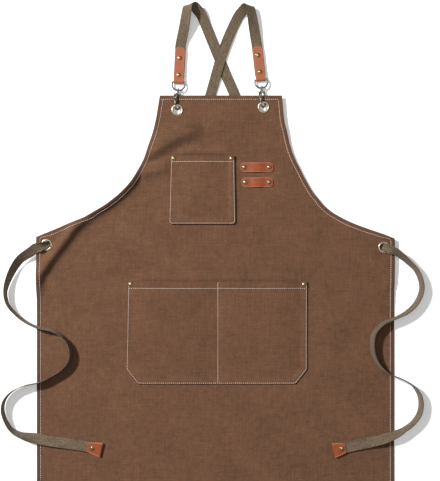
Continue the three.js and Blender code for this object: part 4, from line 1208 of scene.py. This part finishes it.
class APRON_OT_pockets(Operator):
    """Sew on the chest pocket and the waist pocket"""

    bl_idname = "apron.pockets"
    bl_label = "Pockets"

    def execute(self, context):
        settings = context.scene.apron.cloth
        for pocket in POCKETS:
            rows = pocket_rows(pocket)
            columns = [pocket_columns(pocket, y) for y in rows]

            def place(column, row):
                x = columns[row][column]
                y = rows[row]
                return Vector((x, y, pocket_top(pocket, x, y, settings)))

            def wear(column, row):
                across = min(column, len(columns[0]) - 1 - column)
                up = min(row, len(rows) - 1 - row)
                return max(1 - min(across, up) / POCKET_WORN_CELLS, 0)

            mesh = grid_mesh(len(columns[0]), len(rows), place, wear)
            piece = add_piece(pocket.piece, mesh, finish(context, washed_canvas), [pocket.node])
            thicken(piece, POCKET_CLOTH, -1, THIN_EDGE_ROUND)
        return {"FINISHED"}


def stitches(line, settings):
    """Stitches along a line of points on the cloth."""
    sewn = []
    reaches = [0]
    for before, after in zip(line, line[1:]):
        reaches.append(reaches[-1] + (after - before).length)

    def at(reach):
        span = min(bisect_right(reaches, reach), len(line) - 1) - 1
        part = (reach - reaches[span]) / (reaches[span + 1] - reaches[span])
        return line[span].lerp(line[span + 1], min(part, 1))

    count = int(reaches[-1] / settings.pitch)
    for number in range(count):
        start = at(number * settings.pitch)
        end = at(number * settings.pitch + settings.stitch)
        way = end - start
        turn = way.to_track_quat("Z", "Y").to_matrix().to_4x4()
        size = Matrix.Diagonal((settings.thread_radius, settings.thread_radius, way.length / 2, 1))
        stitch = bmesh.new()
        bmesh.ops.create_uvsphere(stitch, u_segments=6, v_segments=4, radius=1,
                                  matrix=Matrix.Translation((start + end) / 2) @ turn @ size)
        sewn.append(stitch)
    return sewn


def hem_line(settings):
    """The stitching of the hem: down the left side, along the bottom and up the right side."""
    inset = settings.hem + STITCH_CLEAR
    low = SKIRT_HEM + inset
    high = BIB_TOP - inset
    heights = evenly(high, low, SIDE_POINTS)
    left = [(eased(ARMHOLES, y, "left") + inset * edge_stretch(y, "left"), y) for y in heights]
    right = [(eased(ARMHOLES, y, "right") - inset * edge_stretch(y, "right"), y) for y in reversed(heights)]
    across = [(x, low) for x in evenly(left[-1][0], right[0][0], FOOT_POINTS)[1:-1]]
    return left + across + right


def top_line(settings):
    """The stitching of the bib's top hem."""
    y = BIB_TOP - settings.hem - STITCH_CLEAR
    left = eased(ARMHOLES, y, "left") + settings.hem / 2
    right = eased(ARMHOLES, y, "right") - settings.hem / 2
    return [(x, y) for x in evenly(left, right, POCKET_POINTS)]


def pocket_lines(pocket, settings):
    """The stitching of a pocket: round its sides and foot, along its mouth's hem and down its seams."""
    inset = settings.stitch_inset
    low = pocket.foot + inset
    heights = evenly(pocket.mouth - STITCH_START, low, POCKET_POINTS)
    left = [(pocket_side(pocket, y, "left") + inset * pocket_stretch(pocket, y, "left"), y) for y in heights]
    right = [(pocket_side(pocket, y, "right") - inset * pocket_stretch(pocket, y, "right"), y)
             for y in reversed(heights)]
    across = [(x, low) for x in evenly(left[-1][0], right[0][0], SEAM_POINTS)[1:-1]]
    lines = [left + across + right]
    y = pocket.mouth - pocket.hem
    start = pocket_side(pocket, y, "left") + inset
    end = pocket_side(pocket, y, "right") - inset
    lines.append([(x, y) for x in evenly(start, end, POCKET_POINTS)])
    for seam in pocket.seams:
        lines.append([(seam, height) for height in evenly(heights[0], low, SEAM_POINTS)])
    return lines


class APRON_OT_stitching(Operator):
    """Stitch the hems and the pockets"""

    bl_idname = "apron.stitching"
    bl_label = "Stitching"

    def execute(self, context):
        settings = context.scene.apron.cloth
        hems = []
        for line in (hem_line(settings), top_line(settings)):
            points = [Vector((x, y, canvas_top(x, y, settings) + STITCH_LIFT)) for x, y in line]
            hems += stitches(points, settings)
        add_piece("hem_stitching", join_meshes(hems), finish(context, sewing_thread))
        seams = []
        for pocket in POCKETS:
            for line in pocket_lines(pocket, settings):
                points = [Vector((x, y, pocket_top(pocket, x, y, settings) + STITCH_LIFT)) for x, y in line]
                seams += stitches(points, settings)
        add_piece("pocket_stitching", join_meshes(seams), finish(context, sewing_thread))
        return {"FINISHED"}


def strap_height(row):
    """Height of the strap's middle line over its lowest edge's lift."""
    roll = math.radians(row.roll)
    return row.lift + row.width / 2 * abs(math.sin(roll)) + STRAP / 2 * math.cos(roll)


def strap_stations(rows, face_sign):
    """Stations along a smooth line through the route's rows."""
    points = [Vector((row.x, row.y, strap_height(row))) for row in rows]
    line = smooth_line(points)
    stations = []
    for span in range(len(rows) - 1):
        steps = max(math.ceil((points[span + 1] - points[span]).length / STRAP_STEP), 2)
        last = span == len(rows) - 2
        for step in range(steps + 1 if last else steps):
            part = step / steps
            place, along = line(span + part)
            roll = math.radians(mix(rows[span].roll, rows[span + 1].roll, part))
            curl = math.radians(mix(rows[span].curl, rows[span + 1].curl, part))
            left = UP.cross(along).normalized()
            face = along.cross(left) * math.cos(roll) + left * math.sin(roll)
            width = mix(rows[span].width, rows[span + 1].width, part)
            stations.append(Station(place, along, face * face_sign, width, curl * face_sign))
    return stations


def turn_stations(strap):
    """Stations of the strap's turn at the top, half round a line that leans with the strap."""
    last = strap.up[-1]
    start = Vector((last.x, last.y, strap_height(last)))
    comes = bearing(strap.up_heading)
    axis = (comes + bearing(strap.down_heading)).normalized()
    out = comes - axis * comes.dot(axis)
    creep = comes.dot(axis) / out.length
    out.normalize()
    lean = Matrix.Rotation(-math.radians(last.roll), 3, comes)
    cells = 24
    stations = []
    for cell in range(cells + 1):
        turn = math.pi * cell / cells
        offset = out * math.sin(turn) + UP * (math.cos(turn) - 1) + axis * creep * turn
        along = (out * math.cos(turn) - UP * math.sin(turn) + axis * creep).normalized()
        face = out * math.sin(turn) + UP * math.cos(turn)
        place = start + lean @ (offset * strap.fold_radius)
        stations.append(Station(place, lean @ along, lean @ face, STRAP_WIDTH))
    return stations


def row_after_turn(station):
    """The route's row that carries on from a turn's last station."""
    left = UP.cross(station.along).normalized()
    above = station.along.cross(left)
    roll = math.degrees(math.atan2(-station.face.dot(left), -station.face.dot(above)))
    row = Row(station.place.x, station.place.y, 0, roll)
    return row._replace(lift=station.place.z - strap_height(row))


class APRON_OT_straps(Operator):
    """Run the two straps from their tabs through the side eyelets to the tie ends"""

    bl_idname = "apron.straps"
    bl_label = "Straps and ties"

    def execute(self, context):
        for strap in STRAPS:
            eyelet = centre_of(strap.eyelet)
            way = bearing(strap.pass_heading)
            through = [Row(eyelet.x + way.x * row.reach, eyelet.y + way.y * row.reach, row.lift,
                           row.share * strap.tie[0].roll, row.curl, row.width) for row in EYELET_PASS]
            turn = turn_stations(strap)
            down = [row_after_turn(turn[-1]), *strap.down, *through, *strap.tie]
            stations = strap_stations(strap.up, 1)[:-1] + turn[:-1] + strap_stations(down, -1)
            mesh = ribbon(stations, STRAP_CELLS)
            piece = add_piece(strap.piece, mesh, finish(context, cotton_webbing), [strap.node])
            thicken(piece, STRAP, 0, EDGE_ROUND)
            path = [station.place for station in stations]
            length = sum((after - before).length for before, after in zip(path, path[1:]))
            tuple(path[0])
        return {"FINISHED"}


def folded_strip(rows, origin, way, fold_height, fold_radius, fold_half):
    """Stations of a leather strip folded in two, from rows of (reach, half width, low, high)."""
    back = -way
    stations = []
    for reach, half, low, high in reversed(rows):
        stations.append(Station(origin + way * reach + UP * low, back, -UP, 2 * half))
    cells = 14
    for cell in range(cells + 1):
        turn = math.pi * cell / cells
        face = -UP * math.cos(turn) + back * math.sin(turn)
        along = back * math.cos(turn) + UP * math.sin(turn)
        height = fold_height - fold_radius * math.cos(turn)
        place = origin - way * fold_radius * math.sin(turn) + UP * height
        stations.append(Station(place, along, face, 2 * fold_half))
    for reach, half, low, high in rows:
        stations.append(Station(origin + way * reach + UP * high, way, UP, 2 * half))
    return stations


def rounded_half(half, from_end, corner, cut):
    """Half the width of a strip near its rounded end."""
    roundness = 2.2
    part = min(max(1 - from_end / corner, 0), 1)
    return half * (1 - cut * part ** roundness)


class APRON_OT_leather(Operator):
    """Cut the shoulder tabs, the tool loops and the tie ends"""

    bl_idname = "apron.leather"
    bl_label = "Leather"

    def execute(self, context):
        leather = finish(context, tanned_leather)
        for shoulder in SHOULDERS:
            reaches = [TAB_START, *spaced(TAB_START, TAB_FINE_END, TAB_FINE_STEP), TAB_FINE_END,
                       *spaced(TAB_FINE_END, shoulder.length, TAB_STEP), shoulder.length - LEATHER_RIM,
                       shoulder.length]
            rows = []
            for reach in reaches:
                half = rounded_half(TAB_WIDTH / 2, shoulder.length - reach, TAB_CORNER, TAB_CUT)
                high = mix(BAR_HEIGHT + TAB_FOLD, TAB_HIGH, smoothstep(reach, TAB_START, TAB_CLOSED))
                rows.append((reach, half, TAB_LOW, high))
            origin = Vector((*shoulder.bar, 0))
            stations = folded_strip(rows, origin, bearing(shoulder.heading), BAR_HEIGHT, TAB_FOLD,
                                    TAB_WIDTH / 2)
            # The tab's faces get painted light: they are paled toward the edge colour
            mesh = ribbon(stations, LEATHER_CELLS, TAB_PAINTED_LIGHT)
            piece = add_piece(f"shoulder_tab_{shoulder.side}_leather", mesh, leather,
                              [f"shoulder_tab_{shoulder.side}"])
            thicken(piece, LEATHER, 0, EDGE_ROUND)
        for name in ("tool_loop_upper", "tool_loop_lower"):
            low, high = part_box(name)
            y = (low.y + high.y) / 2
            length = high.x - low.x
            last = length - LEATHER_RIM
            places = [0, LEATHER_RIM, *spaced(LEATHER_RIM, last, LEATHER_STEP), last, length]
            stations = []
            for reach in places:
                from_end = min(reach, length - reach)
                rise = LOOP_ARCH * smoothstep(from_end, LOOP_FLAT, LOOP_FLAT + LOOP_RISE)
                half = rounded_half(LOOP_WIDTH / 2, from_end, LOOP_END_CORNER, LOOP_END_CUT)
                place = Vector((low.x + reach, y, low.z + LEATHER / 2 + rise))
                stations.append(Station(place, Vector((1, 0, 0)), UP, 2 * half))
            mesh = ribbon(stations, LEATHER_CELLS)
            piece = add_piece(f"{name}_leather", mesh, leather, [name])
            thicken(piece, LEATHER, 0, EDGE_ROUND)
        for end in TIE_ENDS:
            way = bearing(end.heading)
            low = END_UNDER + END_LEATHER / 2
            high = END_UNDER + END_LEATHER * 1.5 + STRAP + 2 * GAP
            radius = (high - low) / 2
            inner = end.length - radius - END_LEATHER / 2
            fold = Vector((end.x, end.y, 0)) + way * inner
            rows = []
            for reach in [*spaced(0, inner, LEATHER_STEP), inner - END_RIM, inner]:
                part = 1 - reach / inner
                half = mix(END_HALF_INNER, END_HALF_OUTER, part ** END_FLARE)
                rows.append((reach, rounded_half(half, inner - reach, END_CORNER, END_CUT), low, high))
            stations = folded_strip(rows, fold, -way, low + radius, radius, END_HALF_OUTER)
            mesh = ribbon(stations, LEATHER_CELLS)
            piece = add_piece(f"tie_end_{end.side}_leather", mesh, leather,
                              [f"tie_end_{end.side}"])
            thicken(piece, END_LEATHER, 0, THIN_EDGE_ROUND)
        return {"FINISHED"}


def rivet_mesh(node, settings):
    """A rivet turned about its CAD node's axis: back cap, post and domed front cap with a lip."""
    # A pocket's rivet sits on that pocket's cloth, which can be higher here than in the solids
    low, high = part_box(node)
    middle = (low + high) / 2
    back_face = 0.003
    back_radius = 0.0034
    back_ease = low.z + 0.0003
    back_top = low.z + 0.0009
    post = 0.0015
    radius = 0.004
    foot_flare = 0.0002
    flare = 0.0003
    rim = 0.0008
    lip = 0.0005
    flare_share = 0.6
    groove_share = 0.8
    dome = 0.0021
    dome_fullness = 0.75
    cap = high.z - dome
    for pocket in POCKETS:
        if pocket.node in node:
            cap = max(cap, pocket_top(pocket, middle.x, middle.y, settings))
    profile = [(0, low.z), (back_face, low.z), (back_radius, back_ease), (back_radius, back_top),
               (post, back_top), (post, cap), (radius + foot_flare, cap),
               (radius + flare, cap + lip * flare_share), (radius, cap + lip),
               (radius - groove_share * rim, cap + lip * groove_share)]
    arc = 12
    for step in range(arc + 1):
        turn = math.pi / 2 * step / arc
        across = (radius - rim) * math.cos(turn) ** dome_fullness
        profile.append((across, cap + lip + (dome - lip) * math.sin(turn)))
    return turned(profile, centre=(middle.x, middle.y, 0))


def eyelet_mesh(node):
    """An eyelet turned about its CAD node's axis: a rolled front rim, a barrel and a back flange."""
    low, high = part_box(node)
    middle = (low + high) / 2
    hole = 0.0075
    outer = 0.0112
    flange = 0.0108
    back = 0.0009
    roll = 0.0016
    roll_fullness = 0.8
    ease = 0.0003
    wall = 0.0007
    over = high.z - roll
    profile = [(hole, low.z + ease), (hole + ease, low.z), (flange - ease, low.z), (flange, low.z + ease),
               (flange, low.z + back), (hole + wall, low.z + back), (hole + wall, over), (outer, over)]
    arc = 12
    for step in range(1, arc + 1):
        turn = math.pi * step / arc
        across = mix(outer, hole, (1 - math.cos(turn)) / 2)
        profile.append((across, over + ease + (roll - ease) * math.sin(turn) ** roll_fullness))
    return turned(profile, centre=(middle.x, middle.y, 0), closed=True)


class APRON_OT_rivets(Operator):
    """Set the rivets and the eyelets"""

    bl_idname = "apron.rivets"
    bl_label = "Rivets and eyelets"

    def execute(self, context):
        for node in sorted(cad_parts):
            if node.startswith("rivet_"):
                name = node.removeprefix("rivet_") + "_rivet"
                mesh = rivet_mesh(node, context.scene.apron.cloth)
                add_piece(name, mesh, finish(context, antique_brass), [node])
            if node.startswith("eyelet_"):
                mesh = eyelet_mesh(node)
                add_piece(f"{node}_ring", mesh, finish(context, pale_brass), [node])
        return {"FINISHED"}


def hook_places(shoulder):
    """Matrices that put a hook's flat drawing in place: its eye upright, and its hook tilted."""
    bar = Vector((*shoulder.bar, 0))
    foot = bar - bearing(shoulder.heading) * LOOP_DROP
    way = Vector((*shoulder.eyelet, 0)) - foot
    turn = Matrix.Rotation(math.atan2(way.x, -way.y), 4, "Z")
    upright = Matrix.Translation((foot.x, foot.y, HOOK_HEIGHT)) @ turn
    return upright, upright @ Matrix.Rotation(math.radians(HOOK_TILT), 4, "Y")


def wire_loop_mesh(shoulder):
    """The wire loop: a closed trapezoid of round wire with rounded corners."""
    bar = Vector((*shoulder.bar, 0))
    way = bearing(shoulder.heading)
    right = way.cross(UP)

    def corner(sideways, drop):
        place = bar + right * sideways - way * drop
        place.z = mix(BAR_HEIGHT, HOOK_HEIGHT, drop / LOOP_DROP)
        return place

    corners = [corner(-LOOP_HALF, 0), corner(-LOOP_HALF, LOOP_SIDE), corner(-LOOP_FOOT, LOOP_DROP),
               corner(LOOP_FOOT, LOOP_DROP), corner(LOOP_HALF, LOOP_SIDE), corner(LOOP_HALF, 0)]
    points = []
    bend = 6
    for number, place in enumerate(corners):
        before = corners[number - 1]
        after = corners[(number + 1) % len(corners)]
        start = place + (before - place).normalized() * LOOP_CORNER
        end = place + (after - place).normalized() * LOOP_CORNER
        for step in range(bend + 1):
            part = step / bend
            points.append(start * (1 - part) ** 2 + place * 2 * part * (1 - part) + end * part ** 2)
    flat = (corners[2] - corners[3]).cross(corners[0] - corners[2]).normalized()
    return sweep(points, flat, WIRE, closed=True)


def hook_mesh():
    """The snap hook drawn flat: head plate, slotted barrel, and an arm bent round to its tip."""
    plate = bmesh.new()
    face = plate.faces.new([plate.verts.new((x, -drop, -PLATE_HALF)) for x, drop in PLATE])
    solid = bmesh.ops.extrude_face_region(plate, geom=[face])
    top = [item for item in solid["geom"] if isinstance(item, bmesh.types.BMVert)]
    bmesh.ops.translate(plate, vec=(0, 0, 2 * PLATE_HALF), verts=top)
    bmesh.ops.holes_fill(plate, edges=plate.edges, sides=0)
    bmesh.ops.recalc_face_normals(plate, faces=plate.faces)
    bmesh.ops.bevel(plate, geom=plate.edges, offset=PLATE_BEVEL, segments=3, profile=0.5, affect="EDGES",
                    material=-1)
    radius = (HOOK_BACK + HOOK_FRONT) / 2
    middle = HOOK_BACK - radius
    bend_top = HOOK_LENGTH - radius
    points = [Vector((HOOK_BACK, -drop, 0)) for drop in evenly(HOOK_ARM_TOP, bend_top, 4)[:-1]]
    arc = 16
    for step in range(arc + 1):
        turn = math.pi * step / arc
        points.append(Vector((middle + radius * math.cos(turn), -bend_top - radius * math.sin(turn), 0)))
    points.append(Vector((-HOOK_FRONT, -HOOK_TIP, 0)))
    arm = sweep(points, UP, HOOK_WIRE)
    tubes = []
    slots = (0, BARREL_SLOT, 0)
    for begin, end, gap in zip(BARREL_LENGTHS, BARREL_LENGTHS[1:], slots):
        section = [(BARREL_BORE, begin), (BARREL_RADIUS, begin), (BARREL_RADIUS, end), (BARREL_BORE, end)]
        tube = turned(section, axis=(0, -1, 0), closed=True, angle=360 - gap)
        facing = Matrix.Rotation(math.radians(180 + gap / 2), 4, (0, -1, 0))
        bmesh.ops.transform(tube, matrix=Matrix.Translation((-HOOK_FRONT, 0, 0)) @ facing, verts=tube.verts)
        tubes.append(tube)
    return join_meshes([plate, arm, *tubes])


def bolt_mesh():
    """The sprung bolt drawn flat: a round-ended shaft with a thumb nub."""
    ease = 0.0005
    shaft = turned([(0, BOLT_TOP), (BOLT_RADIUS - ease, BOLT_TOP), (BOLT_RADIUS, BOLT_TOP + ease),
                    (BOLT_RADIUS, BOLT_FOOT - ease), (BOLT_RADIUS - ease, BOLT_FOOT), (0, BOLT_FOOT)],
                   axis=(0, -1, 0))
    nub = turned([(0, 0), (NUB_RADIUS, 0), (NUB_RADIUS, NUB_OUT - ease), (NUB_RADIUS - ease, NUB_OUT),
                  (0, NUB_OUT)])
    sideways = Matrix.Translation((0, -NUB_AT, 0)) @ Matrix.Rotation(-math.pi / 2, 4, "Y")
    bmesh.ops.transform(nub, matrix=sideways, verts=nub.verts)
    return join_meshes([shaft, nub], Matrix.Translation((-HOOK_FRONT, 0, 0)))


def swivel_mesh():
    """The swivelling eye drawn flat: a ring on the wire loop and a headed stem through the plate."""
    arc = 32
    ring = []
    for step in range(arc):
        turn = 2 * math.pi * step / arc
        ring.append(Vector((0, SWIVEL_RING * math.cos(turn) - SWIVEL_SLACK, SWIVEL_RING * math.sin(turn))))
    eye = sweep(ring, Vector((1, 0, 0)), SWIVEL_WIRE, closed=True)
    stem_top = SWIVEL_SLACK + SWIVEL_RING
    stem = turned([(0, stem_top), (SWIVEL_STEM, stem_top), (SWIVEL_STEM, SWIVEL_HEAD_TOP),
                   (SWIVEL_HEAD, SWIVEL_HEAD_TOP), (SWIVEL_HEAD, SWIVEL_FOOT), (0, SWIVEL_FOOT)],
                  axis=(0, -1, 0))
    return join_meshes([eye, stem])


class APRON_OT_hooks(Operator):
    """Hang the wire loops and the snap hooks with their swivel eyes and bolts"""

    bl_idname = "apron.hooks"
    bl_label = "Snap hooks"

    def execute(self, context):
        steel = finish(context, gunmetal_steel)
        wire = finish(context, blackened_steel)
        for shoulder in SHOULDERS:
            side = shoulder.side
            upright, tilted = hook_places(shoulder)
            add_piece(f"wire_loop_{side}_steel", wire_loop_mesh(shoulder), wire,
                      [f"wire_loop_{side}"])
            add_piece(f"swivel_eye_{side}_steel", join_meshes([swivel_mesh()], upright), wire,
                      [f"swivel_eye_{side}"])
            add_piece(f"snap_hook_{side}_steel", join_meshes([hook_mesh()], tilted), steel,
                      [f"snap_hook_{side}"])
            add_piece(f"bolt_{side}_steel", join_meshes([bolt_mesh()], tilted), steel,
                      [f"bolt_{side}"], body=f"bolt_{side}")
        return {"FINISHED"}


class APRON_OT_stage(Operator):
    """Set the floor, the lights and the camera"""

    bl_idname = "apron.stage"
    bl_label = "Stage"

    def execute(self, context):
        settings = context.scene.apron.stage
        scene = context.scene
        scene.view_settings.view_transform = "Standard"
        # Opal acrylic, matt and softly lit from below, so that shadows on it stay pale
        material, _, shader = start_material("opal acrylic floor", Roughness=0.8)
        shader.inputs["Base Color"].default_value = tone(settings.floor)
        shader.inputs["Emission Color"].default_value = tone(settings.floor)
        shader.inputs["Emission Strength"].default_value = settings.glow
        mesh = bmesh.new()
        bmesh.ops.create_grid(mesh, x_segments=1, y_segments=1, size=FLOOR_HALF)
        bmesh.ops.translate(mesh, vec=(0, 0, -FLOOR_GAP), verts=mesh.verts)
        data = bpy.data.meshes.new("floor")
        mesh.to_mesh(data)
        mesh.free()
        data.materials.append(material)
        floor = bpy.data.objects.new("floor", data)
        scene.collection.objects.link(floor)
        floor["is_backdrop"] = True
        self.add_lights(scene, settings)
        self.add_camera(scene, settings)
        return {"FINISHED"}

    def add_lights(self, scene, settings):
        """One firm light from the upper left, a broad dim one overhead, and even light from all round."""
        key = bpy.data.lights.new("key_light", "AREA")
        key.energy = settings.key
        key.shape = "DISK"
        key.size = KEY_SIZE
        lamp = bpy.data.objects.new("key_light", key)
        lamp.location = KEY_PLACE
        lamp.rotation_euler = (Vector(KEY_AIM) - lamp.location).to_track_quat("-Z", "Y").to_euler()
        scene.collection.objects.link(lamp)
        box = bpy.data.lights.new("overhead_softbox", "AREA")
        box.energy = settings.overhead
        box.size = SOFTBOX_SIZE
        ceiling = bpy.data.objects.new("overhead_softbox", box)
        ceiling.location = SOFTBOX_PLACE
        scene.collection.objects.link(ceiling)
        world = bpy.data.worlds.new("studio")
        world.use_nodes = True
        background = world.node_tree.nodes["Background"]
        background.inputs["Color"].default_value = (1, 1, 1, 1)
        background.inputs["Strength"].default_value = settings.fill
        scene.world = world

    def add_camera(self, scene, settings):
        """A camera straight above, framed as the photograph is."""
        camera = bpy.data.cameras.new("camera")
        camera.sensor_fit = "VERTICAL"
        camera.sensor_height = 36
        camera.lens = camera.sensor_height * settings.camera_height / settings.frame_height
        view = bpy.data.objects.new("camera", camera)
        view.location = (*PICTURE_MIDDLE, settings.camera_height)
        scene.collection.objects.link(view)
        scene.camera = view


class ApronSettings(PropertyGroup):
    """Everything that a user may change"""

    cloth: PointerProperty(type=ApronCloth)
    trim: PointerProperty(type=ApronTrim)
    stage: PointerProperty(type=ApronStage)


OPERATORS = (APRON_OT_stage, APRON_OT_canvas, APRON_OT_pockets, APRON_OT_stitching, APRON_OT_rivets,
             APRON_OT_leather, APRON_OT_hooks, APRON_OT_straps)


class APRON_PT_pieces(Panel):
    """The apron's settings and pieces"""

    bl_idname = "APRON_PT_pieces"
    bl_label = "Work apron"
    bl_space_type = "VIEW_3D"
    bl_region_type = "UI"
    bl_category = "Apron"

    def draw(self, context):
        settings = context.scene.apron
        for group in (settings.cloth, settings.trim, settings.stage):
            box = self.layout.box()
            for name in group.__annotations__:
                box.prop(group, name)
        for operator in OPERATORS:
            self.layout.operator(operator.bl_idname)


CLASSES = (ApronCloth, ApronTrim, ApronStage, ApronSettings, *OPERATORS, APRON_PT_pieces)


def register():
    """Registers the classes and the scene's settings."""
    for item in CLASSES:
        bpy.utils.register_class(item)
    bpy.types.Scene.apron = PointerProperty(type=ApronSettings)


def unregister():
    """Removes the scene's settings and the classes."""
    del bpy.types.Scene.apron
    for item in reversed(CLASSES):
        bpy.utils.unregister_class(item)


def main():
    """Makes every piece in order."""
    register()
    for operator in OPERATORS:
        group, name = operator.bl_idname.split(".")
        getattr(getattr(bpy.ops, group), name)()
    boxes = {"cad": CAD_BOX, "visual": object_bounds()}
    {name: [list(corner) for corner in box] for name, box in boxes.items()}


if __name__ == "__main__":
    main()
